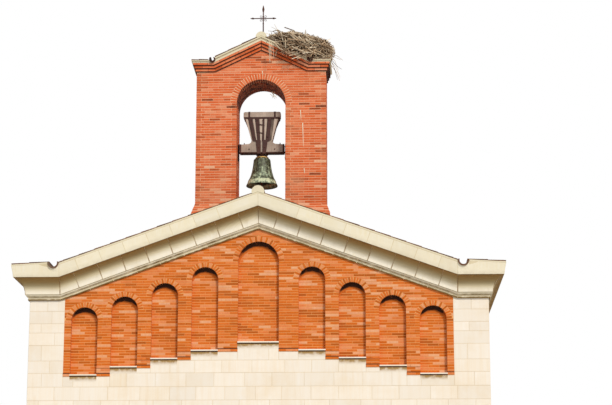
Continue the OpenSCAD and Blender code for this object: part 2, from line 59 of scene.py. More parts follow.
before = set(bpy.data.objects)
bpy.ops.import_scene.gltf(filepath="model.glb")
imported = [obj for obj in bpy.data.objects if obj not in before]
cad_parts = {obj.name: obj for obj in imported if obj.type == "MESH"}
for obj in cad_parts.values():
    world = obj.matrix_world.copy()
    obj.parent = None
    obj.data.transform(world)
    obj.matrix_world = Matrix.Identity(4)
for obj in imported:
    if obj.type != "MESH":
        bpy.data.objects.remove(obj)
CAD_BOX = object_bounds()

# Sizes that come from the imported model, in metres
HALF_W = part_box("front_wall")[1].x
NAVE_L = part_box("rear_wall")[1].y
APEX_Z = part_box("front_wall")[1].z
KINK_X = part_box("right_roof")[1].x
VERGE_Y = -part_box("right_roof")[0].y
EAVES_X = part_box("right_eaves_roof")[1].x
BED_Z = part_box("front_cornice")[0].z
PANEL_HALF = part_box("brick_panel")[1].x
PANEL_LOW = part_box("brick_panel")[0].z
DOOR_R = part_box("door_arch")[1].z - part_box("door_arch")[0].z
DOOR_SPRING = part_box("door_arch")[0].z
LEAF_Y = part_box("right_door_leaf")[0].y
PIER_LOW, PIER_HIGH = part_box("right_pier")
ARCH_R = PIER_LOW.x
BELFRY_HALF = PIER_HIGH.x
BELFRY_Y0, BELFRY_Y1 = PIER_LOW.y, PIER_HIGH.y
MID_Y = (BELFRY_Y0 + BELFRY_Y1) / 2
FOOT_TOP = PIER_LOW.z
SPRING_Z = PIER_HIGH.z
RING_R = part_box("belfry_arch_ring")[1].x
CORBEL_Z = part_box("belfry_cornice")[0].z
BELFRY_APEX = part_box("gable_head")[1].z
BELL_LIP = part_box("bell")[0].z
BELL_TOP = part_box("bell")[1].z
LIP_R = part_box("bell")[1].x

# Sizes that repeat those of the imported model, in metres
RAKE = 0.36
RAKE_COS, RAKE_SIN = math.cos(math.atan(RAKE)), math.sin(math.atan(RAKE))
BED_APEX = BED_Z + RAKE * KINK_X
SHOULDER_TOP = APEX_Z - RAKE * KINK_X + 0.025
SHOULDER_FALL = 0.06
ROOF_T = 0.025
GUTTER_X, GUTTER_R = KINK_X + 0.130, 0.125
BED_H, CAVETTO_H, FASCIA_H = 0.120, 0.358, 0.282
CAVETTO_FOOT, CAVETTO_OVER, FASCIA_OVER = 0.100, 0.334, 0.384
DOOR_HALF = DOOR_R - 0.324
PANEL_TOP = APEX_Z - 0.78
NICHE_D = 0.110
NICHE_X = [3.9, 3.0, 2.1, 1.2, 0.0]
NICHE_HALF = [0.30, 0.30, 0.30, 0.30, 0.46]
NICHE_CROWN = [8.40, 8.64, 8.94, 9.30, 9.88]
NICHE_RING = 0.120
SILL_H, SILL_STEP, SILL_OVER = 0.045, 0.180, 0.030
STEP_LOW = [PANEL_LOW + SILL_STEP * k for k in range(5)]
# Where each step of the panel ends towards the middle, and each niche as (step, place)
STEP_INNER = [NICHE_X[k] + NICHE_HALF[k] for k in range(1, 5)] + [0.0]
NICHES = [(k, side * NICHE_X[k]) for k in range(5) for side in ((1,) if k == 4 else (1, -1))]
FOOT_FLARE, FOOT_BEND = 0.085, 10.66
BELFRY_RAKE = 0.478
BELFRY_COS, BELFRY_SIN = math.cos(math.atan(BELFRY_RAKE)), math.sin(math.atan(BELFRY_RAKE))
BELFRY_KINK = 1.075
CORBEL_STEP = 0.028
CORBEL_LAYERS = ((0.0, 0.072), (0.072, 0.144), (0.144, 0.205))
SHOULDER_TILES = 0.262
GABLE_CHANNEL_R = 0.072
YOKE_BODY_LOW, YOKE_BODY_H = 0.270, 0.522
NEST_AXIS, NEST_RIM, NEST_R, NEST_H, NEST_TILT = 0.890, 14.960, 0.780, 0.700, 8.0
AXLE_Z = 12.23
PLINTH_TOP = 0.35

# Masonry: heights of the stone courses from the top down as shares of the usual one, the upright joints,
# how far these wander, the room that the bricks round a corner need, and the arrises
STONE_COURSES = (1.0, 1.0, 1.0, 1.0, 0.84, 0.93, 0.70, 0.94, 1.16, 0.93, 1.02)
CROSS_JOINT = 0.006
PANEL_SLACK, GABLE_SLACK, STONE_SLACK = 0.012, 0.010, 0.090
CORNER_BRICK = 0.118
ARRIS, STONE_ARRIS = 0.002, 0.004
STONE_DEEP = 0.03
# Grime and painted shade at this level hide a block whole; 1 darkens an arris
SOIL = 16.0
SMALL = 1e-5

# Burnt bricks on the front of the bell gable as (x, height, darkness), lime runs as (x, top, foot), in metres
BURNT_BRICKS = ((-0.70, 13.20, 0.4), (1.34, 13.22, 0.4), (1.06, 13.28, 0.25), (1.28, 13.10, 0.2),
                (-1.30, 13.36, 0.25), (1.22, 11.60, 0.35), (-0.12, 14.36, 0.12), (0.08, 14.34, 0.2),
                (-0.04, 14.30, 0.1), (-0.45, 12.30, 0.1), (0.95, 13.45, 0.1), (-1.05, 12.95, 0.08))
LIME_RUNS = ((0.916, 13.12, 12.88), (0.969, 12.81, 12.255), (1.00, 11.72, 11.60), (0.02, 14.08, 13.98))

# Irons and pale laths of the yoke: left and right edge at the head, then at the beam, metres from the middle
FAN_IRONS = ((-0.310, -0.236, -0.205, -0.140), (-0.156, -0.076, -0.098, -0.048), (0.018, 0.050, 0.002, 0.046),
             (0.136, 0.215, 0.090, 0.180))
FAN_LATHS = ((-0.390, -0.335, -0.236, -0.226), (-0.222, -0.170, -0.128, -0.108),
             (-0.062, 0.014, -0.038, -0.006), (0.056, 0.122, 0.056, 0.076), (0.290, 0.375, 0.218, 0.238))
CROSS_PIECES = (((-0.135, 12.70), (0.035, 12.655), (0.035, 12.675), (-0.135, 12.72)),
                ((-0.085, 12.875), (0.06, 12.85), (0.06, 12.875), (-0.085, 12.90)))
YOKE_BOLTS = ((-0.245, 12.98), (-0.11, 12.98), (0.02, 12.98), (0.165, 12.98), (-0.16, 12.58), (0.135, 12.58),
              (-0.075, 12.33), (0.06, 12.33))

# Loose twigs that hang clear of the nest or are caught in the arch: three points each
LOOSE_TWIGS = (
    ((1.56, 0.80, 14.50), (1.72, 0.78, 14.36), (1.80, 0.76, 14.12)),
    ((1.58, 0.95, 14.46), (1.74, 0.92, 14.24), (1.84, 0.90, 13.98)),
    ((1.50, 0.62, 14.52), (1.66, 0.56, 14.40), (1.86, 0.52, 14.30)),
    ((1.60, 1.05, 14.60), (1.76, 1.02, 14.56), (1.90, 1.00, 14.44)),
    ((1.62, 0.85, 14.40), (1.70, 0.80, 14.20), (1.78, 0.80, 13.90)),
    ((1.60, 1.30, 14.45), (1.74, 1.32, 14.25), (1.82, 1.34, 14.04)),
    ((1.66, 0.70, 14.34), (1.76, 0.66, 14.20), (1.88, 0.62, 14.10)),
    ((0.20, 0.40, 14.74), (0.19, 0.38, 14.50), (0.22, 0.39, 14.22)),
    ((0.24, 0.42, 14.72), (0.26, 0.38, 14.52), (0.23, 0.38, 14.34)),
    ((0.16, 0.44, 14.78), (0.10, 0.42, 14.66), (0.04, 0.42, 14.62)),
    ((0.55, 0.36, 14.55), (0.62, 0.33, 14.44), (0.60, 0.34, 14.34)),
    ((1.05, 0.38, 14.40), (1.08, 0.35, 14.26), (1.02, 0.36, 14.18)),
    ((1.10, 0.38, 14.42), (1.15, 0.35, 14.28), (1.20, 0.36, 14.20)),
    ((0.22, 0.70, 13.62), (0.28, 0.71, 13.52), (0.25, 0.72, 13.44)),
    ((0.24, 0.74, 13.61), (0.31, 0.72, 13.50), (0.36, 0.74, 13.45)),
    ((0.30, 0.72, 13.60), (0.27, 0.73, 13.50), (0.32, 0.71, 13.42)),
    ((0.20, 0.76, 13.56), (0.28, 0.74, 13.48), (0.37, 0.75, 13.52)),
    ((0.40, 0.50, 14.98), (0.33, 0.46, 15.06), (0.24, 0.44, 15.10)),
    ((0.44, 0.52, 14.96), (0.36, 0.48, 15.08), (0.31, 0.46, 15.17)),
    ((0.36, 0.50, 14.94), (0.28, 0.48, 15.00), (0.16, 0.46, 15.01)),
    ((0.215, 0.355, 14.60), (0.209, 0.350, 14.42), (0.205, 0.350, 14.20)),
    ((0.225, 0.352, 14.60), (0.217, 0.347, 14.42), (0.211, 0.347, 14.22)),
    ((0.219, 0.345, 14.62), (0.215, 0.341, 14.44), (0.207, 0.341, 14.24)))

# The photograph's viewpoint: place in metres, focal length in pixels of a picture 612 wide, turns in radians
IMAGE_W = 612
CAMERA_PLACE = (2.51, -40.041, 1.602)
CAMERA_FOCAL_PX = 1815.2
CAMERA_PITCH, CAMERA_TURN = 0.225, 0.036


def linear(code):
    """sRGB hex to linear RGBA: c / 12.92 up to 0.04045, above it ((c + 0.055) / 1.055) ^ 2.4."""
    parts = [int(code[i:i + 2], 16) / 255 for i in (1, 3, 5)]
    return tuple(c / 12.92 if c <= 0.04045 else ((c + 0.055) / 1.055) ** 2.4 for c in parts) + (1.0,)


class MasonrySizes(bpy.types.PropertyGroup):
    """Bricks and dressed stones"""
    brick_l: FloatProperty(name="Brick length", description="A brick with its joint",
                           default=0.250, min=0.15, max=0.4, unit="LENGTH")
    course_h: FloatProperty(name="Brick course", description="Height of a brick course with its joint",
                            default=0.060, min=0.04, max=0.09, unit="LENGTH")
    brick_joint: FloatProperty(name="Brick joint", description="Width of the mortar joint",
                               default=0.012, min=0.004, max=0.02, unit="LENGTH")
    brick_proud: FloatProperty(name="Brick relief", description="How far bricks stand before the joint",
                               default=0.004, min=0.001, max=0.01, unit="LENGTH")
    stone_l: FloatProperty(name="Stone length", description="Usual length of a dressed stone",
                           default=0.640, min=0.3, max=1.2, unit="LENGTH")
    stone_h: FloatProperty(name="Stone course", description="Height of a course of dressed stone",
                           default=0.300, min=0.2, max=0.5, unit="LENGTH")
    stone_joint: FloatProperty(name="Stone joint", description="Width of the joints between stones",
                               default=0.006, min=0.002, max=0.02, unit="LENGTH")
    stone_proud: FloatProperty(name="Stone relief", description="How far stones stand before the joint",
                               default=0.004, min=0.001, max=0.01, unit="LENGTH")
    cornice_l: FloatProperty(name="Cornice stone", description="Length of the moulded cornice stones",
                             default=0.560, min=0.3, max=1.0, unit="LENGTH")


class RoofSizes(bpy.types.PropertyGroup):
    """Clay tiles"""
    column: FloatProperty(name="Tile column", description="Spacing of the tile columns",
                          default=0.220, min=0.15, max=0.3, unit="LENGTH")
    row: FloatProperty(name="Tile row", description="Length of a tile that stays in sight",
                       default=0.340, min=0.2, max=0.5, unit="LENGTH")
    wall: FloatProperty(name="Tile wall", description="Thickness of the clay",
                        default=0.013, min=0.008, max=0.02, unit="LENGTH")
    verge_l: FloatProperty(name="Verge tile", description="Spacing of the flat tiles along the edges",
                           default=0.370, min=0.2, max=0.5, unit="LENGTH")


class NestSizes(bpy.types.PropertyGroup):
    """The nest of sticks"""
    sticks: IntProperty(name="Sticks", description="Number of sticks in the nest",
                        default=2600, min=200, max=9000)
    stick_l: FloatProperty(name="Stick length", description="Usual length of a stick",
                           default=0.46, min=0.2, max=0.8, unit="LENGTH")


class FinishColours(bpy.types.PropertyGroup):
    """Colours of the main finishes"""
    brick: FloatVectorProperty(name="Panel brick", description="Usual colour of the panel's bricks",
                               subtype="COLOR", size=4, min=0, max=1, default=linear("#D76B1C"))
    red_brick: FloatVectorProperty(name="Gable brick", description="Usual colour of the bell gable's bricks",
                                   subtype="COLOR", size=4, min=0, max=1, default=linear("#DB6430"))
    stone: FloatVectorProperty(name="Stone", description="Usual colour of the dressed stone",
                               subtype="COLOR", size=4, min=0, max=1, default=linear("#F6EAD8"))
    tile: FloatVectorProperty(name="Tile", description="Usual colour of the clay tiles",
                              subtype="COLOR", size=4, min=0, max=1, default=linear("#96694A"))
    cornice: FloatVectorProperty(name="Cornice", description="Usual colour of the cornices' plain bands",
                                 subtype="COLOR", size=4, min=0, max=1, default=linear("#F6EBCF"))


# Shader nodes and materials

def add(tree, kind, inputs=None, stops=None, **settings):
    """One shader node: settings are its properties; inputs take a value, an output or a node's first one."""
    item = tree.nodes.new("ShaderNode" + kind)
    for key, value in settings.items():
        setattr(item, key, value)
    for key, value in (inputs or {}).items():
        if isinstance(value, bpy.types.Node):
            value = next(output for output in value.outputs if output.enabled)
        if isinstance(value, bpy.types.NodeSocket):
            tree.links.new(value, item.inputs[key])
        else:
            item.inputs[key].default_value = value
    if stops:
        ramp = item.color_ramp.elements
        ramp[0].position, ramp[0].color = stops[0]
        ramp[1].position, ramp[1].color = stops[-1]
        for position, shade in stops[1:-1]:
            ramp.new(position).color = shade
    return item


def blank(holder):
    """Empties the node tree of a new material or world and gives the function that adds to it."""
    holder.use_nodes = True
    holder.node_tree.nodes.clear()
    return holder, partial(add, holder.node_tree)


def grey(value):
    return (value, value, value, 1.0)


def hues(*codes):
    return [linear(code) for code in codes]


def around(finish, *pairs):
    """Tones round the sidebar's colour: colour x share x (1 - pale) + cream x pale for each (share, pale)."""
    usual, cream = getattr(bpy.context.scene.tower_colours, finish), linear("#F4DDB8")
    return [tuple(min(c * share, 1) * (1 - pale) + w * pale for c, w in zip(usual[:3], cream)) + (1.0,)
            for share, pale in pairs]


MOTTLE_MM = 40


def masonry(name, tones, stain, stain_share, grain_mm, bump_mm, roughness, streaks=0.0, edge="#8A5B40",
            edge_share=0.25):
    """Bricks, stones, tiles and mortar share one make-up.

    The piece's attribute tint gives each block its own tone in red, its own mottling in green and
    its darkened arrises, stains and painted shade in blue. Clouds of stain lie over it, streaks run down, and
    grit gives the bump.
    """
    material, put = blank(bpy.data.materials.new(name))
    place = put("TexCoord").outputs["Object"]
    tint = put("Attribute", attribute_name="tint")
    own = tint.outputs["Vector"]
    split = put("SeparateColor", {"Color": tint})
    base = put("ValToRGB", {"Fac": split.outputs["Red"]},
               [(i / (len(tones) - 1), tone) for i, tone in enumerate(tones)])
    shifted = put("VectorMath", {0: place, 1: own, 2: own}, operation="MULTIPLY_ADD")
    mottle = put("TexNoise", {"Vector": shifted, "Scale": 1000 / MOTTLE_MM, "Detail": 4.0, "Roughness": 0.6})
    greys = put("ValToRGB", {"Fac": mottle}, [(0.30, grey(0.30)), (0.5, grey(0.5)), (0.72, grey(0.72))])
    mottled = put("Mix", {0: 0.35, 6: base, 7: greys}, data_type="RGBA", blend_type="OVERLAY")
    cloud = put("TexNoise", {"Vector": place, "Scale": 1.3, "Detail": 6.0, "Roughness": 0.62})
    clouded = put("MapRange", {"Value": cloud, "From Min": 0.48, "From Max": 0.75, "To Max": stain_share})
    stained = put("Mix", {0: clouded, 6: mottled, 7: linear(stain)}, data_type="RGBA")
    patchy = put("TexNoise", {"Vector": place, "Scale": 9.0, "Detail": 4.0})
    gate = put("MapRange", {"Value": patchy, "From Min": 0.35, "From Max": 0.65, "To Min": 0.4 * edge_share,
                            "To Max": edge_share})
    # blue darkens towards the edge colour: stains, darkened arrises and painted shade
    dirt = put("Math", {0: split.outputs["Blue"], 1: gate}, operation="MULTIPLY", use_clamp=True)
    seen = put("Mix", {0: dirt, 6: stained, 7: linear(edge)}, data_type="RGBA")
    if streaks:
        tall = put("Mapping", {"Vector": place, "Scale": (7.0, 7.0, 0.55)})
        rain = put("TexNoise", {"Vector": tall, "Scale": 1.0, "Detail": 5.0, "Roughness": 0.65})
        runs = put("MapRange", {"Value": rain, "From Min": 0.55, "From Max": 0.8, "To Max": streaks})
        seen = put("Mix", {0: runs, 6: seen, 7: linear(stain)}, data_type="RGBA")
    grit = put("TexNoise", {"Vector": place, "Scale": 1000 / grain_mm, "Detail": 3.0, "Roughness": 0.6})
    heap = put("Math", {0: mottle, 1: grit}, operation="ADD")
    bump = put("Bump", {"Height": heap, "Distance": bump_mm / 1000, "Strength": 0.6})
    shader = put("BsdfPrincipled", {"Base Color": seen, "Roughness": roughness, "Normal": bump,
                                    "Specular IOR Level": 0.25})
    put("OutputMaterial", {"Surface": shader})
    return material


def panel_brick():
    """Hand-made fired brick, orange-brown: dark and pale bricks stand among the usual ones."""
    tones = around("brick", (0.72, 0), (0.9, 0), (1, 0), (1.05, 0.03), (1.1, 0.17), (1.08, 0.4))
    # the edge colour darkens arrises and is the painted shade under the niche heads, under the sills and over
    # the base courses
    return masonry("orange_fired_brick", tones, "#B8622E", 0.3, 4, 1.2, 0.9, edge="#3E2013", edge_share=0.13)


def gable_brick():
    """Redder fired brick of the bell gable, with pinkish and burnt bricks and pale lime runs."""
    tones = around("red_brick", (0.66, 0), (0.88, 0), (1, 0), (1.03, 0.04), (1.06, 0.16), (1.0, 0.46))
    # the edge colour darkens arrises and burnt bricks, the outer sides of the oversailing courses, and is the
    # painted shade of the arch's soffit
    return masonry("red_fired_brick", tones, "#EDB98D", 0.34, 4, 1.2, 0.9, 0.2, "#40190E", 0.13)


def dressed_stone():
    """Sawn pale limestone: warm cream blocks that differ slightly, with faint ochre clouds."""
    tones = around("stone", (0.95, 0.02), (0.98, 0), (1.0, 0), (1.03, 0), (0.98, 0.3))
    # the ochre edge colour darkens arrises and is the painted shadow under the sills
    return masonry("dressed_limestone", tones, "#E4C48E", 0.3, 3, 0.6, 0.85, 0.32, "#A98755", 0.2)


def cornice_stone():
    """Plain bands of the cornices: bright cream limestone whose joints hardly show, with painted shade below."""
    tones = around("cornice", (0.95, 0), (1, 0), (1.02, 0), (0.97, 0))
    return masonry("bright_limestone_band", tones, "#DFC595", 0.22, 3, 0.6, 0.85, 0.14, "#806739", 0.5)


def hollow_stone():
    """Hollow mouldings: limestone with painted shade, olive-brown at the top, paling to cream at the foot."""
    tones = hues("#8E6C3A", "#A08454", "#B7A47C", "#DCCDAA", "#FAF0DA")
    return masonry("unwashed_limestone_hollow", tones, "#B39868", 0.25, 3, 0.6, 0.9, 0.2, "#8A6738", 0.6)


def roof_tile():
    """Fired clay tile, brown with age: grey lichen patches and a few newer, redder tiles."""
    tones = around("tile", (0.5, 0), (0.74, 0), (1, 0), (1.28, 0.02), (0.86, 0.05))
    # the edge colour darkens the tiles' inner faces and the verge tiles, and is the painted shade of the
    # channels' ends
    return masonry("weathered_clay_tile", tones, "#8F8A78", 0.5, 3, 1.0, 0.92, edge="#3F2A1E", edge_share=0.3)


def joint_mortar(name, shade, dark):
    """Lime mortar in the joints: matt and sandy, so that courses read as thin lines."""
    return masonry(name, hues(shade, shade), dark, 0.5, 2, 0.8, 0.95, edge=dark, edge_share=0.0)


# Mortar between the panel's bricks, warmed by brick dust, and the paler one of the bell gable; open joints
# under the oversailing courses and in the gable's channels, painted near black as shadow; tight joints of the
# walls, hardly darker than the stone; washed joints of the cornice
PANEL_MORTAR = (joint_mortar, "panel_joint_mortar", "#ECA564", "#D98A48")
GABLE_MORTAR = (joint_mortar, "gable_joint_mortar", "#F0BB92", "#DC9668")
SOOTY_MORTAR = (joint_mortar, "sooty_joint_mortar", "#4A2A1E", "#2E1C16")
STONE_MORTAR = (joint_mortar, "stone_joint_mortar", "#E2CFAE", "#CDB48A")
CORNICE_MORTAR = (joint_mortar, "cornice_joint_mortar", "#E6D6B2", "#CDB88C")


def lime_mortar():
    """Trowelled lime mortar that beds the ridge and verge tiles: cream, lumpy, with grey weathering."""
    return masonry("trowelled_lime_mortar", hues("#E6DABB", "#EFE3C6"), "#CDBD97", 0.4, 6, 4.0, 0.95)


def iron():
    """Wrought iron left outdoors: near black, with rust blooming in patches and pits."""
    return masonry("rusted_wrought_iron", hues("#33282A", "#46312E", "#55392F"), "#7A4B33", 0.4, 5, 0.8, 0.75,
                   edge="#6A4030", edge_share=0.4)


def sticks():
    """Dead twigs bleached by the sun: grey-brown bark, each stick its own shade."""
    return masonry("bleached_twigs", hues("#432F1F", "#86694C", "#B99B79", "#E2CBA8", "#FBEBCF", "#9A7E60"),
                   "#5A4432", 0.3, 6, 0.6, 0.9, edge="#DDCDB6", edge_share=0.15)


def nest_core():
    """Matted mud and fine twigs seen between the sticks: dark grey-brown and rough."""
    return masonry("matted_twigs_and_mud", hues("#21170F", "#21170F"), "#3A2C20", 0.8, 20, 12.0, 0.95)


def timber(name, dark, light, grain_mm, roughness):
    """Grain lines grain_mm apart run along the piece's own v coordinate, with slow waves and fine pores."""
    material, put = blank(bpy.data.materials.new(name))
    dark, light = linear(dark), linear(light)
    halfway = tuple((a + b) / 2 for a, b in zip(dark, light))
    along = put("UVMap", uv_map="grain")
    laid = put("Mapping", {"Vector": along, "Scale": (1000 / grain_mm, 2.5, 1.0)})
    grain = put("TexNoise", {"Vector": laid, "Scale": 1.0, "Detail": 5.0, "Roughness": 0.6,
                             "Distortion": 0.4})
    cloud = put("TexNoise", {"Vector": along, "Scale": 3.0, "Detail": 3.0})
    split = put("SeparateColor", {"Color": put("Attribute", attribute_name="tint")})
    both = put("Math", {0: grain, 1: cloud}, operation="ADD")
    toned = put("Math", {0: split.outputs["Red"], 1: 0.6, 2: both}, operation="MULTIPLY_ADD")
    share = put("MapRange", {"Value": toned, "From Min": 0.85, "From Max": 1.65})
    base = put("ValToRGB", {"Fac": share}, [(0.0, dark), (0.55, halfway), (1.0, light)])
    rubbed = put("Math", {0: split.outputs["Blue"], 1: 0.35}, operation="MULTIPLY")
    worn = put("Mix", {0: rubbed, 6: base, 7: light}, data_type="RGBA")
    bump = put("Bump", {"Height": grain, "Distance": 0.0015, "Strength": 0.7})
    shader = put("BsdfPrincipled", {"Base Color": worn, "Roughness": roughness, "Normal": bump,
                                    "Specular IOR Level": 0.25})
    put("OutputMaterial", {"Surface": shader})
    return material


# Silvered hardwood of the yoke, grey-brown with dark shakes; oiled oak boards of the doors, brown
YOKE_TIMBER = (timber, "silvered_oak", "#4A3A31", "#CDB9A6", 7.0, 0.85)
DOOR_TIMBER = (timber, "oiled_oak_boards", "#4A3021", "#7C573A", 9.0, 0.7)


def bronze():
    """Cast bell bronze under verdigris: dark olive metal, pale green runs and a pale band by the lip; the inside
    is painted near black as shade.
    """
    material, put = blank(bpy.data.materials.new("verdigris_bell_bronze"))
    place = put("TexCoord").outputs["Object"]
    split = put("SeparateColor", {"Color": put("Attribute", attribute_name="tint")})
    tall = put("Mapping", {"Vector": place, "Scale": (16.0, 16.0, 2.2)})
    runs = put("TexNoise", {"Vector": tall, "Scale": 1.0, "Detail": 6.0, "Roughness": 0.65})
    spots = put("TexNoise", {"Vector": place, "Scale": 22.0, "Detail": 5.0})
    both = put("Math", {0: runs, 1: spots}, operation="ADD")
    banded = put("Math", {0: split.outputs["Blue"], 1: 0.42, 2: both}, operation="MULTIPLY_ADD")
    share = put("MapRange", {"Value": banded, "From Min": 0.85, "From Max": 1.35})
    crust = put("ValToRGB", {"Fac": share}, list(zip((0.0, 0.28, 0.5, 0.75, 1.0), hues(
        "#2B2A1C", "#55573C", "#74806A", "#AFB894", "#D2D6B0"))))
    # where green is 0, the inside of the bell, the colour is painted near black as shade
    seen = put("Mix", {0: split.outputs["Green"], 6: linear("#15120E"), 7: crust}, data_type="RGBA")
    metal = put("MapRange", {"Value": share, "To Min": 0.25, "To Max": 0.02})
    matt = put("MapRange", {"Value": share, "To Min": 0.45, "To Max": 0.85})
    bump = put("Bump", {"Height": both, "Distance": 0.001, "Strength": 0.5})
    shader = put("BsdfPrincipled", {"Base Color": seen, "Metallic": metal, "Roughness": matt, "Normal": bump})
    put("OutputMaterial", {"Surface": shader})
    return material


def bright_bronze():
    """Bare bronze rubbed bright: warm gold with brown tarnish in its hollows."""
    material, put = blank(bpy.data.materials.new("rubbed_bronze"))
    place = put("TexCoord").outputs["Object"]
    spots = put("TexNoise", {"Vector": place, "Scale": 18.0, "Detail": 5.0})
    seen = put("ValToRGB", {"Fac": spots},
               list(zip((0.35, 0.5, 0.65), hues("#7A5B2C", "#B08A48", "#D9BC7A"))))
    bump = put("Bump", {"Height": spots, "Distance": 0.0008, "Strength": 0.4})
    shader = put("BsdfPrincipled", {"Base Color": seen, "Metallic": 0.6, "Roughness": 0.5, "Normal": bump})
    put("OutputMaterial", {"Surface": shader})
    return material


MADE = {}


def finish_of(maker, *arguments):
    """The material that a maker gives, made once and then shared."""
    key = (maker.__name__, arguments)
    if key not in MADE:
        MADE[key] = maker(*arguments)
    return MADE[key]


def dress(material, *nodes):
    """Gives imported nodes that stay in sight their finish."""
    for name in nodes:
        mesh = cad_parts[name].data
        mesh.materials.clear()
        mesh.materials.append(material)


# Shells worked out as whole arrays; a part is (vertices, faces, tint)

def build(name, part, material, body="building", replaces=(), smooth=False, grain=None):
    """One piece from a part: vertices (n, 3), faces as a list of (m, k) index arrays, tint (n, 3).

    The tint becomes the attribute tint, and grain, (n, 2), the map that timber follows.
    """
    vertices, faces, tint = part
    corners = np.concatenate([f.ravel() for f in faces]).astype(np.int32)
    sizes = np.concatenate([np.full(len(f), f.shape[1]) for f in faces])
    mesh = bpy.data.meshes.new(name)
    mesh.vertices.add(len(vertices))
    mesh.vertices.foreach_set("co", np.asarray(vertices, np.float32).ravel())
    mesh.loops.add(len(corners))
    mesh.loops.foreach_set("vertex_index", corners)
    mesh.polygons.add(len(sizes))
    mesh.polygons.foreach_set("loop_start", np.concatenate([[0], np.cumsum(sizes)[:-1]]).astype(np.int32))
    mesh.polygons.foreach_set("use_smooth", np.full(len(sizes), smooth))
    mesh.update(calc_edges=True)
    layer = mesh.attributes.new("tint", "FLOAT_COLOR", "POINT")
    layer.data.foreach_set("color", np.c_[tint, np.ones(len(tint))].astype(np.float32).ravel())
    if grain is not None:
        layer = mesh.uv_layers.new(name="grain")
        layer.data.foreach_set("uv", grain.astype(np.float32)[corners].ravel())
    mesh.materials.append(material)
    piece = bpy.data.objects.new(name, mesh)
    bpy.context.scene.collection.objects.link(piece)
    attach(piece, body)
    if replaces:
        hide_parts(*replaces)
    return piece


def joined(parts):
    """Several shells as one: each part's face indices move up by the vertices before it."""
    vertices, faces, tints, start = [], {}, [], 0
    for points, loops, tint in parts:
        vertices.append(points)
        tints.append(tint)
        for f in loops:
            faces.setdefault(f.shape[1], []).append(f + start)
        start += len(points)
    return np.concatenate(vertices), [np.concatenate(f) for f in faces.values()], np.concatenate(tints)


def outward(vertices, faces):
    """Turns all faces round where the enclosed volume, the sum of a . (b x c) / 6, comes out negative."""
    middle = vertices.mean(0)
    volume = 0.0
    for f in faces:
        p = vertices[f] - middle
        for k in range(1, f.shape[1] - 1):
            volume += np.einsum("ij,ij->", p[:, 0], np.cross(p[:, k], p[:, k + 1]))
    return faces if volume > 0 else [f[:, ::-1] for f in faces]


def mirrored(part, scale, shift=(0, 0, 0)):
    vertices, faces, tint = part
    return vertices * scale + shift, [f[:, ::-1] for f in faces], tint


def mirror_x(part):
    """The same shell on the other side of the middle."""
    return mirrored(part, (-1, 1, 1))


def mirror_y(part, middle=MID_Y):
    """The same shell on the other side of a plane across the building."""
    return mirrored(part, (1, -1, 1), (0, 2 * middle, 0))


def on_plane(origin, along, up=(0, 0, 1)):
    """Place on a flat face: origin + u along + v up + d outwards, where outwards is along x up."""
    origin, along, up = (np.array(a, float) for a in (origin, along, up))
    out = np.cross(along, up)
    return lambda u, v, d: origin + u[..., None] * along + v[..., None] * up + d[..., None] * out


def facing(y):
    """Place on an upright plane that faces the front, at a depth y."""
    return on_plane((0, y, 0), (1, 0, 0))


FRONT = facing(0)


def corners(left, right, low, high, left_high=None, right_high=None):
    """Four corners, anticlockwise from the lower left; the upper edge may have ends of its own."""
    return [(left, low), (right, low), (right if right_high is None else right_high, high),
            (left if left_high is None else left_high, high)]


def unit(vectors):
    """Vectors brought to length one."""
    return vectors / (np.linalg.norm(vectors, axis=-1, keepdims=True) + SMALL)


def band(width, rings=2):
    """Quads between rings of width points that lie one after another."""
    i = np.arange(width)
    strip = np.stack([i, (i + 1) % width, (i + 1) % width + width, i + width], 1)
    return np.concatenate([strip + width * k for k in range(rings - 1)])


def many(shape, count, size):
    """One shape's faces for each of count like shells of size points."""
    return (np.arange(count)[:, None, None] * size + shape).reshape(-1, np.shape(shape)[1])


def shades(count, size, rng, dirt, tone=None):
    """Tint of count like shells: a tone and a mottling for each and the grime and painted shade of each of its
    points.
    """
    tint = np.empty((count, size, 3))
    tint[..., 0] = rng.random((count, 1)) if tone is None else np.asarray(tone, float).reshape(-1, 1)
    tint[..., 1] = rng.random((count, 1))
    tint[..., 2] = dirt
    return tint


def blocks(quads, place, out, depth, chamfer, rng, wobble=0.0012, tone=None, soil=None):
    """Closed bricks or stones, one for each four corners of a face, anticlockwise seen from outside.

    A block is a back ring, a shoulder ring and a top ring drawn in by the chamfer, twelve points in all.
    Each stands a little more or less proud and leans a little. The last argument gives each corner's grime and
    painted shade.
    """
    quads = np.asarray(quads, float).reshape(-1, 4, 2)
    count = len(quads)
    inner = quads + chamfer * (unit(np.roll(quads, -1, 1) - quads) + unit(np.roll(quads, 1, 1) - quads))
    rings = np.concatenate([quads, quads, inner], 1)
    lift = (out + rng.uniform(-wobble, wobble, (count, 1)) + rng.uniform(-wobble, wobble, (count, 4)) / 2)
    back = np.broadcast_to(-np.asarray(depth, float).reshape(-1, 1), (count, 4))
    height = np.concatenate([back, lift - chamfer, lift], 1)
    points = place(rings[..., 0], rings[..., 1], height).reshape(-1, 3)
    shape = np.concatenate([band(4, 3), [[8, 9, 10, 11], [3, 2, 1, 0]]])
    tint = shades(count, 12, rng, np.repeat([1.0, 0.0], [8, 4]), tone)
    if soil is not None:
        tint[..., 2] = np.maximum(tint[..., 2], np.tile(soil, (1, 3)))
    return points, [many(shape, count, 12)], tint.reshape(-1, 3)


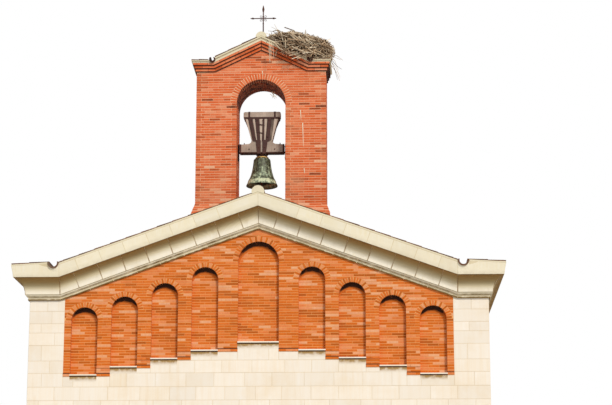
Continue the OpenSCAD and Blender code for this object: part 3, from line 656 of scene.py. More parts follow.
def course(low, high, ends, start, length, joint, slack, rng):
    """Corners of the blocks of one course: cross joints every length from start, between ends that may lean.

    ends is (left at the foot, left at the top, right at the foot, right at the top). Joints nearer than
    0.3 of a length to an end are left out, so that no sliver stands there.
    """
    left_low, left_high, right_low, right_high = ends
    first, last = max(left_low, left_high), min(right_low, right_high)
    count = max(int((last - first) / length) + 3, 0)
    cuts = start + length * (math.floor((first - start) / length) + np.arange(count))
    cuts = cuts + rng.uniform(-slack, slack, count)
    cuts = cuts[(cuts > first + 0.3 * length) & (cuts < last - 0.3 * length)]
    half = min(joint, CROSS_JOINT) / 2
    lefts, rights = ([np.concatenate([[a], cuts]) + half, np.concatenate([cuts, [b]]) - half]
                     for a, b in ((left_low, right_low), (left_high, right_high)))
    foot, top = np.full(len(cuts) + 1, low + joint / 2), np.full(len(cuts) + 1, high - joint / 2)
    quads = np.stack([np.c_[lefts[0], foot], np.c_[lefts[1], foot], np.c_[rights[1], top],
                      np.c_[rights[0], top]], 1)
    quads = quads[np.maximum(quads[:, 1, 0] - quads[:, 0, 0], quads[:, 2, 0] - quads[:, 3, 0]) > 0.03]
    quads[:, [1, 2], 0] = np.maximum(quads[:, [1, 2], 0], quads[:, [0, 3], 0] + CROSS_JOINT)
    return quads


def bond(row, length, wander, rng):
    """Where a course's cross joints start: half a block over in each second course, and a little astray."""
    return (row % 2) * length / 2 + rng.uniform(-wander, wander)


def stretches(outer_low, outer_high, holes):
    """Ends of each stretch of a course between -outer and outer that the holes leave.

    A hole is (middle, half width at the foot, half width at the top) of the course.
    """
    left, found = (-outer_low, -outer_high), []
    for middle, below, above in sorted(holes):
        if max(below, above) > 0:
            found.append((*left, middle - below, middle - above))
            left = (middle + below, middle + above)
    found.append((*left, outer_low, outer_high))
    return [s for s in found if max(s[2] - s[0], s[3] - s[1]) > 0.03]


def arch_span(low, high, half, spring, radius):
    """Half widths of an opening at a course's foot and top: half up to the springing, then
    sqrt(radius^2 - rise^2)."""
    return [half if z <= spring else math.sqrt(max(radius ** 2 - (z - spring) ** 2, 0.0))
            for z in (low + SMALL, high - SMALL)]


def ring_quads(middle, spring, inner, outer, count, joint, wedge=0.0):
    """Corners of the stones of a half ring: equal angles from the right springing to the left.

    wedge is 1 for stones that widen outwards and 0 for bricks, whose joints widen outwards instead.
    """
    angle = (np.arange(count) + 0.5) * math.pi / count
    half = inner * math.pi / count / 2 - joint / 2
    out = np.stack([np.cos(angle), np.sin(angle)], 1)
    turn = np.stack([-out[:, 1], out[:, 0]], 1)
    corner = lambda r, side: ((middle, spring) + r * out
                              + side * half * (1 + wedge * (r / inner - 1)) * turn)
    return np.stack([corner(inner, -1), corner(outer, -1), corner(outer, 1), corner(inner, 1)], 1)


def stone_tones(count, rng, usual=0.5, spread=0.22, odd=0.1):
    """Most blocks are near the usual tone; a share of odd ones takes any tone."""
    tone = np.clip(rng.normal(usual, spread, count), 0, 1)
    return np.where(rng.random(count) < odd, rng.random(count), tone)


def batch_tones(quads, rng, usual):
    """Tones that drift across a wall, as bricks come in batches: eight flat waves of +-0.12 are added."""
    tone = stone_tones(len(quads), rng, usual, 0.2)
    waves = rng.uniform((1.5, 8.0, 0.0), (6.0, 34.0, 2 * math.pi), (8, 3))
    middle = quads.mean(1)
    return np.clip(tone + 0.12 * np.sin(middle @ waves[:, :2].T + waves[:, 2]).sum(1), 0, 1)


# The brick panel with its niches

def niche_span(k, low, high, extra, ring):
    """Half widths of a niche at a course's foot and top; ring widens its head and extra narrows its jambs."""
    half = NICHE_HALF[k]
    return arch_span(low, high, half - extra, NICHE_CROWN[k] - half, half + ring)


def panel_bricks(size, rng):
    """Running bond on the front face: stretchers, half a brick over in each second course.

    The rake cuts the courses. The lowest one of each pier stands forward as its base.
    """
    outer = lambda z: max(min(PANEL_HALF, KINK_X - (z - BED_Z) / RAKE), 0.0)
    plain, based = [], []
    low, row = PANEL_LOW, 0
    while low < PANEL_TOP:
        high = low + size.course_h
        step = max(k for k in range(5) if STEP_LOW[k] <= low + SMALL)
        holes = [(x, *niche_span(k, low, high, 0.0045, NICHE_RING)) for k, x in NICHES if k <= step]
        if step < 4:
            holes.append((0.0, STEP_INNER[step], STEP_INNER[step]))
        start = bond(row, size.brick_l, 0.02, rng)
        for ends in stretches(outer(low), outer(high), holes):
            quads = course(low, high, ends, start, size.brick_l, size.brick_joint, PANEL_SLACK, rng)
            centre = abs(quads[:, :, 0].mean()) if len(quads) else 0
            on_base = any(abs(low - STEP_LOW[k]) < SMALL and centre > STEP_INNER[k] - 0.01
                          and (k == 0 or centre < NICHE_X[k] + 0.5) for k in range(5))
            (based if on_base else plain).append(quads)
        low, row = high, row + 1
    plain, based = np.concatenate(plain), np.concatenate(based)
    walls = [blocks(plain, FRONT, size.brick_proud, NICHE_D, ARRIS, rng, tone=batch_tones(plain, rng, 0.5))]
    bases = [blocks(based, FRONT, 0.015 + size.brick_proud, NICHE_D, ARRIS, rng,
                    tone=stone_tones(len(based), rng, 0.6))]
    return joined(walls + bases)


def niche_back_bricks(size, rng):
    """The backs of the blind niches, laid in the same bond."""
    found = []
    for k, x in NICHES:
        low, row = STEP_LOW[k], 0
        while low < NICHE_CROWN[k] - 0.02:
            high = min(low + size.course_h, NICHE_CROWN[k] - 0.004)
            below, above = niche_span(k, low, high, 0.0, 0.0)
            start = x + bond(row, size.brick_l, 0.02, rng)
            found.append(course(low, high, (x - below, x - above, x + below, x + above), start, size.brick_l,
                                size.brick_joint, PANEL_SLACK, rng))
            low, row = high, row + 1
    quads = np.concatenate(found)
    return blocks(quads, facing(NICHE_D), 0.003, 0.02, 0.0015, rng, tone=batch_tones(quads, rng, 0.45))


def film(quads, place, out, soil, rng, tone=0.45):
    """A thin crust of painted shade and grime in small closed plates: the darkness given at each corner fades
    into the plain surface.
    """
    part = blocks(quads, place, out, 0.002, 0.0002, rng, 0.0, tone=np.full(len(quads), tone), soil=soil)
    part[2][:, 1] = 0.5
    return part


def niche_soot(rng):
    """Painted shade and soot in a crescent under each head: plates between half circles that part towards the
    crown.

    Width 0.016 + 0.088 sin a at the angle a; full at the arch, gone at 1.5 times that width and at the
    springings.
    """
    angle = np.linspace(0, math.pi, 25)
    width = 0.016 + 0.088 * np.sin(angle)
    shares, levels = [1.5, 1.0, 0.6, -0.02], [0.0, 0.22, 1.0, 1.0]
    fade = np.minimum(1.5 * np.sin(angle), 1) ** 2
    parts = []
    for k, x in NICHES:
        radius = NICHE_HALF[k] - np.outer(shares, width)
        points = np.stack([x + radius * np.cos(angle),
                           NICHE_CROWN[k] - NICHE_HALF[k] + radius * np.sin(angle)], -1)
        for row in range(3):
            one, two = points[row:row + 2]
            a, b = (SOIL * level * fade for level in levels[row:row + 2])
            parts.append(film(np.stack([one[:-1], two[:-1], two[1:], one[1:]], 1), facing(NICHE_D), 0.0055,
                              np.stack([a[:-1], b[:-1], b[1:], a[1:]], 1), rng))
    return joined(parts)


def base_joints(size, rng):
    """Dark open joints over the projecting base course of each pier, with painted shade in the crease."""
    quads = []
    for k, a, b in ((0, NICHE_X[0] + NICHE_HALF[0], PANEL_HALF),
                    *((k, STEP_INNER[k], NICHE_X[k] - NICHE_HALF[k]) for k in range(4))):
        z = STEP_LOW[k] + size.course_h
        quads += [corners(x0, x1, z - 0.004, z + 0.014) for x0, x1 in ((a, b), (-b, -a))]
    return film(np.array(quads), FRONT, 0.016, np.full((len(quads), 4), SOIL), rng)


def sill_stains(rng):
    """Painted ochre shadow that fades down the stone under each sill."""
    depths, levels = [0.000, -0.032, -0.070, -0.115], [10.0, 7.0, 3.0, 0.0]
    parts = []
    for k, x in NICHES:
        for row in range(3):
            quad = corners(x - NICHE_HALF[k], x + NICHE_HALF[k], STEP_LOW[k] + depths[row + 1],
                           STEP_LOW[k] + depths[row])
            soil = np.array([[levels[row + 1]] * 2 + [levels[row]] * 2])
            parts.append(film([quad], FRONT, 0.0065, soil, rng, 0.5))
    return joined(parts)


def niche_voussoirs(size, rng):
    """Half bricks on edge round each niche head, pale and orange by turns, with painted shade on the arch's
    underside.
    """
    parts = []
    for k, x in NICHES:
        inner, outer = NICHE_HALF[k] - 0.003, NICHE_HALF[k] + NICHE_RING - 0.004
        count = 2 * round(math.pi * (inner + NICHE_RING / 2) / 0.062 / 2) + 1
        quads = ring_quads(x, NICHE_CROWN[k] - NICHE_HALF[k], inner, outer, count, 0.007)
        tone = np.where(np.arange(count) % 2, 0.74, 0.18) + rng.uniform(-0.2, 0.2, count)
        part = blocks(quads, FRONT, size.brick_proud + 0.001, NICHE_D, ARRIS, rng, tone=np.clip(tone, 0, 1))
        rise = np.sin((np.arange(count) + 0.5) * math.pi / count)
        # painted shade on the underside corners, strongest towards the crown
        part[2].reshape(count, 12, 3)[:, [0, 3, 4, 7], 2] = SOIL * np.minimum(rise * 1.2, 1)[:, None] ** 2
        parts.append(part)
    return joined(parts)


def sill_slabs(rng, low, high, out, dirt):
    """Thin slabs with eased edges, one under each niche, between two heights above its foot."""
    quads = [corners(x - NICHE_HALF[k] - 0.003, x + (NICHE_HALF[k] + 0.003), STEP_LOW[k] + low,
                     STEP_LOW[k] + high) for k, x in NICHES]
    return blocks(quads, FRONT, out, NICHE_D, STONE_ARRIS, rng, soil=np.full((len(quads), 4), dirt))


# Dressed stone walls

def ashlar_columns(low, high):
    """Stretches of one stone course on the front that the stepped panel leaves, each with its own top."""
    right = [(a, b, min(high, top))
             for a, b, top in zip(STEP_INNER, [PANEL_HALF] + STEP_INNER[:-1], STEP_LOW)]
    right = right[::-1] + [(PANEL_HALF, HALF_W + 0.004, min(high, BED_Z))]
    found = []
    for a, b, top in [(-b, -a, top) for a, b, top in right[::-1]] + right:
        if top < low + 0.025:
            continue
        if found and abs(found[-1][1] - a) < SMALL and abs(found[-1][2] - top) < SMALL:
            a = found.pop()[0]
        found.append((a, b, top))
    return found


def stone_rows(size, top, rng):
    """Foot, top and first joint of each course: uneven ones down from the cornice, then the plinth."""
    levels = [top] if top > BED_Z else []
    level = BED_Z + size.stone_h * 4
    for share in STONE_COURSES * 8:
        level -= share * size.stone_h
        if PLINTH_TOP + 0.12 < level < top - 0.05:
            levels.append(level)
    levels = [0.0, PLINTH_TOP] + levels[::-1] + ([] if top > BED_Z else [top])
    for row, (low, high) in enumerate(zip(levels[:-1], levels[1:])):
        yield low, high, bond(row, size.stone_l, 0.12, rng)


def front_stones(size, rng):
    """The front's courses, broken round the doorway and under the brick panel's steps."""
    found, deep = [], []
    for low, high, start in stone_rows(size, BED_Z, rng):
        for a, b, top in ashlar_columns(low, high):
            below, above = (arch_span(low, top, DOOR_HALF, DOOR_SPRING, DOOR_R)
                            if low < DOOR_SPRING + DOOR_R else (0, 0))
            by_hole = a < 0 < b and max(below, above) > 0
            for ends in ((a, a, -below, -above), (below, above, b, b)) if by_hole else ((a, a, b, b),):
                quads = course(low, top, ends, start, size.stone_l, size.stone_joint, STONE_SLACK, rng)
                found.append(quads)
                by_door = (np.abs(quads[:, :, 0]).min(1) < DOOR_R + 0.02) & (quads[:, 0, 1] < DOOR_SPRING)
                deep.append(np.where(by_door, LEAF_Y - 0.02, STONE_DEEP))
    quads, deep = np.concatenate(found), np.concatenate(deep)
    return blocks(quads, FRONT, size.stone_proud, deep, STONE_ARRIS, rng, tone=stone_tones(len(quads), rng))


def side_stones(size, rng):
    """Both long sides in the same courses."""
    side = on_plane((HALF_W, 0, 0), (0, 1, 0))
    parts = []
    for turn in range(2):
        quads = np.concatenate([
            course(low, high, (0.0, 0.0, NAVE_L, NAVE_L), start, size.stone_l, size.stone_joint,
                   STONE_SLACK, rng)
            for low, high, start in stone_rows(size, BED_Z, rng)])
        part = blocks(quads, side, size.stone_proud, STONE_DEEP, STONE_ARRIS, rng,
                      tone=stone_tones(len(quads), rng))
        parts.append(mirror_x(part) if turn else part)
    return joined(parts)


def rear_stones(size, rng):
    """The rear gable up to the underside of its cornice."""
    outer = lambda z: HALF_W + 0.004 if z <= BED_Z else max(KINK_X - (z - BED_Z) / RAKE, 0.02)
    found = []
    for low, high, start in stone_rows(size, BED_APEX, rng):
        for a, b in (((low, BED_Z), (BED_Z, high)) if low < BED_Z < high else ((low, high),)):
            foot, top = outer(a + SMALL), outer(b - SMALL)
            found.append(course(a, b, (-foot, -top, foot, top), start, size.stone_l, size.stone_joint,
                                STONE_SLACK, rng))
    quads = np.concatenate(found)
    return blocks(quads, on_plane((0, NAVE_L, 0), (-1, 0, 0)), size.stone_proud, STONE_DEEP, STONE_ARRIS, rng,
                  tone=stone_tones(len(quads), rng))


def door_voussoirs(size, rng):
    """Thirteen wedge stones round the doorway, deep enough to line its head."""
    quads = ring_quads(0.0, DOOR_SPRING, DOOR_HALF, DOOR_R - 0.003, 13, size.stone_joint, 1.0)
    return blocks(quads, FRONT, size.stone_proud + 0.002, LEAF_Y - 0.02, 0.005, rng)


# Moulded cornices

def shifted_line(line, distance):
    """The line moved sideways: each point goes along the mean normal of the stretches beside it."""
    step = unit(np.diff(line, axis=0))
    normal = np.stack([step[:, 1], -step[:, 0]], 1)
    mean = np.concatenate([normal[:1], (normal[:-1] + normal[1:]) / 2, normal[-1:]])
    return line + distance * mean / np.maximum((mean ** 2).sum(1, keepdims=True), 0.5)


def cornice_lines():
    """The three stones of the profile as (outward, height) lines: bed mouldings, hollow and fascia.

    The hollow is part of an ellipse: outward 0.1 t + 0.9 (1 - cos 90t), height 0.1 t + 0.9 sin 90t.
    """
    t = np.linspace(0, 1, 9)
    turn = t * math.pi / 2
    bed = np.array([(0.0, 0.002), (0.040, 0.002), (0.040, 0.034), (0.027, 0.038), (0.027, 0.052),
                    (0.050, 0.070), (0.074, 0.084), (0.084, 0.098), (0.084, BED_H - 0.009),
                    (0.078, BED_H - 0.005), (CAVETTO_FOOT, BED_H - 0.003)])
    hollow = np.stack([CAVETTO_FOOT + (CAVETTO_OVER - CAVETTO_FOOT) * (0.1 * t + 0.9 * (1 - np.cos(turn))),
                       BED_H + CAVETTO_H * (0.1 * t + 0.9 * np.sin(turn))], 1)
    hollow[[0, -1], 1] += (0.002, -0.004)
    foot = BED_H + CAVETTO_H
    fascia = np.array([(CAVETTO_OVER - 0.012, foot), (CAVETTO_OVER + 0.004, foot + 0.002),
                       (CAVETTO_OVER + 0.02, foot + FASCIA_H * 0.4),
                       (FASCIA_OVER - 0.004, foot + FASCIA_H - 0.004)])
    return bed, hollow, fascia


def moulded_stones(line, back, cuts, first, last, place, rng, rings, soil, worn, shade=None):
    """Stones along a run, each the profile line closed by a straight back and carried from cut to cut.

    The end rings are drawn in by a chamfer. first(o, h) and last(o, h) give where the run's mitres lie.
    Of the last three arguments the first gives the grime and painted shade at each point of the line, worn the
    grime of the joints, and shade the painted shade of each point as its tone.
    """
    chamfer, joint, proud = 0.004, 0.004 if worn < 1 else 0.001, 0.003
    ends = np.array([(back, line[-1, 1]), (back, line[0, 1])])
    full = np.concatenate([shifted_line(line, proud), ends])
    drawn = np.concatenate([shifted_line(line, proud - chamfer), ends + (0.002, 0)])
    # two rings close to the ends keep the joints' dirt there
    share = np.concatenate([[0, 0, 0.02], np.linspace(0, 1, rings + 2)[1:-1], [0.98, 1, 1]])
    inset = np.concatenate([[0, chamfer], np.zeros(rings + 2), [-chamfer, 0]])
    count, total, width = len(cuts) - 1, len(share), len(full)
    section = np.stack([drawn] + [full] * (total - 2) + [drawn])
    o, h = (np.broadcast_to(section[None, ..., axis], (count, total, width)) for axis in range(2))
    start, end = cuts[:-1] + joint, cuts[1:] - joint
    s = (start[:, None] + (end - start)[:, None] * share + inset)[:, :, None] + 0 * o
    lowest = first(o, h) + joint / 2 + inset.clip(0)[None, :, None]
    highest = last(o, h) - joint / 2 + inset.clip(None, 0)[None, :, None]
    s = np.minimum(np.maximum(s, lowest), highest)
    # rings that a mitre has pushed together are spread again between the two ends
    s[:, 2:-2] = s[:, 1:2] + (s[:, -2:-1] - s[:, 1:2]) * share[2:-2, None]
    points = place(s, o, h).reshape(-1, 3)
    i = np.arange(width)
    caps = np.stack([i[::-1], i + width * (total - 1)])
    faces = [many(shape, count, width * total) for shape in (band(width, total), caps)]
    edge = np.zeros((total, width))
    edge[[0, 1, -2, -1]] = worn
    edge[:, :len(soil)] = np.maximum(edge[:, :len(soil)], soil)
    tint = shades(count, total * width, rng, 0.0).reshape(count, total, width, 3)
    tint[..., 2] = edge * rng.uniform(0.6, 1.0, (count, 1, 1))
    if shade is not None:
        tint[..., :len(shade), 0] = shade + 0.10 * (tint[..., :len(shade), 0] - 0.5)
        tint[..., len(shade):, 0] = 0.3
    return points, outward(points, faces), tint.reshape(-1, 3)


def run_cuts(end, length, shift):
    """Joints along a run: one each length, kept a third of a length away from both ends."""
    inside = np.arange(shift, end, length)
    inside = inside[(inside > length / 3) & (inside < end - length / 3)]
    return np.concatenate([[-1.0], inside, [end + 1.0]])


def shoulder_height(x):
    """Top of the level shoulders, which fall outwards from the kink."""
    return SHOULDER_TOP - SHOULDER_FALL * (x - KINK_X)


def reaching_up(line):
    """On level runs the fascia reaches up to the tiles: 30 mm, which the shoulder's top then cuts."""
    line = line.copy()
    line[-1, 1] += 0.030 if line[-1, 1] > BED_H + CAVETTO_H + 0.1 else 0.0
    return line


def gable_run(line, back, length, shift, rng, *dirt):
    """Both rakes and both level shoulders of one gable's moulding, mitred at apex, kinks and corners."""
    def sloped(s, o, h):
        return np.stack([s * RAKE_COS + h * RAKE_COS * RAKE_SIN, -o,
                         BED_APEX - s * RAKE_SIN + h * RAKE_COS * RAKE_COS], -1)

    def level(s, o, h):
        top = shoulder_height(s) - 0.003
        notch = SHOULDER_TOP - np.sqrt(np.maximum((GUTTER_R + 0.002) ** 2 - (s - GUTTER_X) ** 2, 0))
        inside = np.abs(s - GUTTER_X) < GUTTER_R + 0.002
        return np.stack([s, -o, np.minimum(BED_Z + h, np.where(inside, np.minimum(top, notch), top))], -1)

    rake_end = KINK_X / RAKE_COS
    # the level shoulders' hollows get a darker painted shade than the rakes'
    sheltered = list(dirt[:2]) + [d * np.linspace(1, 0.5, len(d)) for d in dirt[2:]]
    parts = []
    for flip in (lambda part: part, mirror_x):
        parts.append(flip(moulded_stones(
            line, back, run_cuts(rake_end, length, shift), lambda o, h: -h * RAKE_SIN + 0 * o,
            lambda o, h: rake_end - h * RAKE_SIN + 0 * o, sloped, rng, 1, *dirt)))
        parts.append(flip(moulded_stones(
            reaching_up(line), back, np.array([KINK_X - 1.0, HALF_W + 2.0]), lambda o, h: KINK_X + 0 * o,
            lambda o, h: HALF_W + o, level, rng, 16, *sheltered)))
    return joined(parts)


def eaves_run(line, back, length, shift, rng, *dirt):
    """One long side's moulding, mitred with both gables."""
    def level(s, o, h):
        return np.stack([HALF_W + o, s, np.minimum(BED_Z + h, shoulder_height(HALF_W + o) - 0.003)], -1)

    return moulded_stones(reaching_up(line), back, run_cuts(NAVE_L, length, shift), lambda o, h: -o,
                          lambda o, h: NAVE_L + o, level, rng, 1, *dirt)


# Clay tiles

def barrel_tiles(low_a, across, length, r_high, r_low, wall, base, up, place, rng, rise=0.72):
    """Half-round clay tiles. Each is a half tube whose radius grows from r_high to r_low down the slope.

    low_a is the lower end's distance down the slope, across the column's place, base the height of the
    springing above the slope, and up is +1 for a cover and -1 for a channel.
    """
    count, steps = len(low_a), 7
    width = 2 * steps
    low_a, across = low_a[:, None, None], across[:, None, None]
    angle = np.linspace(-math.pi / 2, math.pi / 2, steps)
    radius = np.array([r_high, r_low])[:, None]
    ring = np.concatenate([np.stack([r * np.sin(t), r * np.cos(t) * rise], -1)
                           for r, t in ((radius, angle), (radius - wall, angle[::-1]))], 1)[None]
    turn = rng.uniform(-0.02, 0.02, (count, 1, 1))
    a = low_a - length * np.array([1.0, 0.0])[None, :, None] + 0 * ring[..., 0]
    a = a + rng.uniform(-0.008, 0.008, (count, 1, 1))
    b = across + ring[..., 0] + turn * (a - low_a)
    c = base + up * ring[..., 1] + np.array([0.0, 0.016])[None, :, None]
    c = c + rng.uniform(-0.003, 0.003, (count, 1, 1))
    points = place(a, b, c).reshape(-1, 3)
    j = np.arange(steps - 1)
    cap = np.stack([j + 1, j, width - 1 - j, width - 2 - j], 1)
    shape = np.concatenate([band(width), cap, cap[:, ::-1] + width])
    tint = shades(count, 2 * width, rng, np.repeat([0.0, 0.7], width))
    return points, outward(points, [many(shape, count, 2 * width)]), tint.reshape(-1, 3)


def tiled_slope(place, down, left, right, size, rng, first=0.0, skip=None):
    """Covers over channels, in rows down a slope from first to down, in columns from left to right."""
    rows = np.arange(down, first + 0.15, -size.row)
    columns = np.arange(left + size.column / 2, right - size.column / 2 + SMALL, size.column)
    between = np.concatenate([columns - size.column / 2, [columns[-1] + size.column / 2]])
    parts = []
    for places, *shape in ((columns, 0.066, 0.082, size.wall, 0.030, 1),
                           (between, 0.088, 0.094, size.wall, 0.068, -1)):
        a, b = (g.ravel() for g in np.meshgrid(rows, places))
        keep = slice(None) if skip is None else ~skip(a, b)
        parts.append(barrel_tiles(a[keep], b[keep], size.row + 0.08, *shape, place, rng))
    return joined(parts)


def flat_tiles(runs, width, thick, rng, lean_by, lift=0.0):
    """Flat tiles that lap down a slope along an edge: each leans so that its lower end lies on the next.

    A run is (start, direction down, normal, length, spacing); the tiles reach inwards from it by their width.
    """
    lean = lift + np.array([0, lean_by, lean_by, 0])
    height = np.concatenate([lean + 0.001, lean + thick])[:, None]
    inwards = np.array([0, 0, width, width] * 2)[None, :, None]
    parts = []
    for start, down, normal, length, spacing in runs:
        a0 = np.minimum(np.arange(int(length / spacing) + 1) * spacing, length - spacing * 0.4)
        a1 = np.minimum(a0 + spacing * 1.12, length)
        along = np.tile(np.stack([a0, a1, a1, a0], 1), 2)[..., None]
        jitter = rng.uniform(-0.006, 0.006, (len(a0), 1, 1))
        points = (np.array(start) + along * np.array(down) + (inwards + jitter) * np.array([0.0, 1.0, 0.0])
                  + height * np.array(normal)).reshape(-1, 3)
        shape = np.concatenate([band(4), [[4, 5, 6, 7], [3, 2, 1, 0]]])
        tint = shades(len(a0), 8, rng, 1.6)
        parts.append((points, outward(points, [many(shape, len(a0), 8)]), tint.reshape(-1, 3)))
    return joined(parts)


# The bell gable

def foot_spread(z):
    """How far the piers' feet have spread at height z: nothing at the top, all of it below the bend."""
    return FOOT_FLARE * np.clip((FOOT_TOP - z) / (FOOT_TOP - FOOT_BEND), 0, 1)


def gable_rows(size, rng):
    """Courses from the roof line to the apex, from the top of the feet: odd, foot, top, first joint."""
    down = math.ceil((FOOT_TOP - (APEX_Z - RAKE * (BELFRY_HALF + FOOT_FLARE))) / size.course_h)
    up = math.ceil((BELFRY_APEX - 0.03 - FOOT_TOP) / size.course_h)
    for k in range(-down, up):
        yield (k % 2, FOOT_TOP + size.course_h * k, FOOT_TOP + size.course_h * (k + 1),
               bond(k, size.brick_l, 0.015, rng))


def gable_face_bricks(size, rng):
    """Front and back faces: piers, head round the arch and the small pediment.

    In even courses the end bricks turn the corners, in odd ones they leave room for the bricks of the sides.
    """
    front = lambda u, v, d: np.stack([u, BELFRY_Y0 - foot_spread(v) - d, v], -1)
    laid = (size.brick_l, size.brick_joint, GABLE_SLACK, rng)
    parts = []
    for turn in range(2):
        found = []
        for odd, low, high, start in gable_rows(size, rng):
            inset = CORNER_BRICK if odd else -0.007
            outer = lambda z: (BELFRY_HALF + float(foot_spread(z)) - inset if z <= CORBEL_Z
                               else max(BELFRY_KINK - (z - CORBEL_Z) / BELFRY_RAKE, 0.0))
            if high <= SPRING_Z + SMALL:
                inner = ARCH_R + (CORNER_BRICK if odd else -0.006)
                ends = (*(max(inner, (APEX_Z - z) / RAKE) for z in (low, high)), outer(low), outer(high))
                if min(ends[2:]) - max(ends[:2]) >= 0.02:
                    found.append(course(low, high, ends, start, *laid))
                    left = course(low, high, ends, start + 0.06, *laid)
                    found.append((left * (-1, 1))[:, [1, 0, 3, 2]])
            else:
                hole = (0.0, *arch_span(low, high, RING_R, SPRING_Z, RING_R))
                for ends in stretches(outer(low + SMALL), outer(high - SMALL), [hole]):
                    found.append(course(low, high, ends, start, *laid))
        quads = np.concatenate(found)
        # lime that has run down over the feet pales their bricks
        tone = stone_tones(len(quads), rng, 0.45)
        low = quads[..., 1].mean(1) - (APEX_Z - RAKE * np.abs(quads[..., 0].mean(1)))
        tone = np.where((low < 0.33) & (rng.random(len(quads)) < 0.45), rng.uniform(0.75, 1, len(quads)),
                        tone)
        soil = np.zeros((len(quads), 4))
        for x, z, share in () if turn else BURNT_BRICKS:
            nearest = np.argmin(np.hypot(*(quads.mean(1) - (x, z)).T))
            tone[nearest], soil[nearest] = 0.0, share * SOIL
        part = blocks(quads, front, size.brick_proud, 0.11, ARRIS, rng, tone=tone, soil=soil)
        parts.append(mirror_y(part) if turn else part)
    return joined(parts)


def lime_runs(rng):
    """White runs of lime down the front of the right pier: narrow plates that taper to their foot."""
    quads = [corners(x + 0.012, x + 0.018, low, high, x - 0.009, x + 0.011) for x, high, low in LIME_RUNS]
    return blocks(quads, facing(BELFRY_Y0), 0.007, 0.002, 0.001, rng, 0.0, tone=np.ones(len(quads)))


def gable_side_bricks(size, rng):
    """Outer sides and jambs, laid so that their ends fill the odd courses of the faces."""
    side = lambda u, v, d: np.stack([BELFRY_HALF + foot_spread(v) + d, u, v], -1)
    jamb = lambda u, v, d: np.stack([ARCH_R - d, -u, v], -1)
    laid = (size.brick_l, size.brick_joint, GABLE_SLACK, rng)
    parts = []
    for turn in range(2):
        outside, inside = [], []
        for odd, low, high, start in gable_rows(size, rng):
            spread = float(foot_spread((low + high) / 2))
            inset = -0.010 if odd else CORNER_BRICK
            a, b = BELFRY_Y0 - spread + inset, BELFRY_Y1 + spread - inset
            if high <= CORBEL_Z + SMALL:
                outside.append(course(low, high, (a, a, b, b), start, *laid))
            if high <= SPRING_Z + SMALL and low > APEX_Z - RAKE * ARCH_R - 0.03:
                inside.append(course(low, high, (-b, -b, -a, -a), start, *laid))
        for found, place in ((outside, side), (inside, jamb)):
            quads = np.concatenate(found)
            part = blocks(quads, place, size.brick_proud - 0.0005, 0.11, ARRIS, rng,
                          tone=stone_tones(len(quads), rng, 0.45))
            parts.append(mirror_x(part) if turn else part)
    return joined(parts)


def gable_voussoirs(size, rng):
    """Bricks on edge round the bell arch, four lengths from front to back, pale and red by turns.

    The soffit is painted dark as shade: only the front face keeps the plain brick colour.
    """
    lengths, out = 4, size.brick_proud + 0.001
    depth = (BELFRY_Y1 - BELFRY_Y0) / lengths
    count = 2 * round(math.pi * (ARCH_R + RING_R) / 2 / 0.0625 / 2) + 1
    rings = [ring_quads(0.0, SPRING_Z, ARCH_R - 0.003, RING_R - 0.004, count, joint)
             for joint in (0.010, 0.003)]
    parts = []
    for k in range(lengths):
        tone = np.clip(np.where(np.arange(count) % 2, 0.6, 0.35) + rng.uniform(-0.2, 0.2, count), 0, 1)
        part = blocks(rings[min(k, 1)], facing(BELFRY_Y0 + depth * k), -0.006 if k else out, depth - 0.003,
                      ARRIS, rng, tone=tone)
        # painted shade on the soffit's corners; the first length's front face keeps the plain colour
        shade = part[2].reshape(count, 12, 3)
        shade[:, [0, 3, 4, 7, 8, 11], 2] = 0.5 * SOIL
        if k == 0:
            shade[:, [8, 11], 2] = 0.0
        parts.append(part)
    behind = blocks(rings[0], facing(BELFRY_Y0), out, 0.02, ARRIS, rng, tone=tone)
    return joined(parts + [mirror_y(behind)])


def corbel_bricks(size, rng):
    """Three oversailing courses that follow the shoulders and rakes of the bell gable.

    A slot stays open under each, where the mortar behind is painted near black as shadow; the bricks of the
    outer sides are darkened all over.
    """
    kink = lambda d: BELFRY_KINK + d * (1 / BELFRY_COS - 1) / BELFRY_RAKE
    slant = lambda d: (kink(d) - d * BELFRY_SIN) / BELFRY_COS
    parts = []
    for k, (d0, d1) in enumerate(CORBEL_LAYERS):
        over = CORBEL_STEP * (k + 1)
        low, high = d0 + 0.008, d1 + size.brick_joint / 2
        outer, y = BELFRY_HALF + over + 0.004, BELFRY_Y0 - over
        laid = ((k % 2) * size.brick_l / 2, size.brick_l, size.brick_joint, GABLE_SLACK, rng)
        for turn in range(2):
            level = on_plane((0, y, CORBEL_Z), (1, 0, 0))
            slope = on_plane((0, y, BELFRY_APEX), (BELFRY_COS, 0, -BELFRY_SIN), (BELFRY_SIN, 0, BELFRY_COS))
            shoulder = course(low, high, (kink(d0), kink(d1), outer, outer), *laid)
            rake = course(low, high, (-d0 * BELFRY_RAKE, -d1 * BELFRY_RAKE, slant(d0), slant(d1)), *laid)
            for quads, place in ((shoulder, level), (rake, slope)):
                one, two = (blocks(quads, place, size.brick_proud, 0.13, 0.003, rng,
                                   tone=stone_tones(len(quads), rng, 0.5)) for _ in range(2))
                pair = [one, mirror_x(two)]
                parts += [mirror_y(p) for p in pair] if turn else pair
            a, b = y + 0.13, BELFRY_Y1 + over - 0.13
            quads = course(low, high, (a, a, b, b), *laid)
            flank = on_plane((BELFRY_HALF + over, 0, CORBEL_Z), (0, 1, 0))
            # the side bricks are darkened all over
            part = blocks(quads, flank, size.brick_proud, 0.13, 0.003, rng,
                          tone=stone_tones(len(quads), rng, 0.5), soil=np.full((len(quads), 4), SOIL))
            parts.append(mirror_x(part) if turn else part)
    return joined(parts)


# Turned and bent pieces

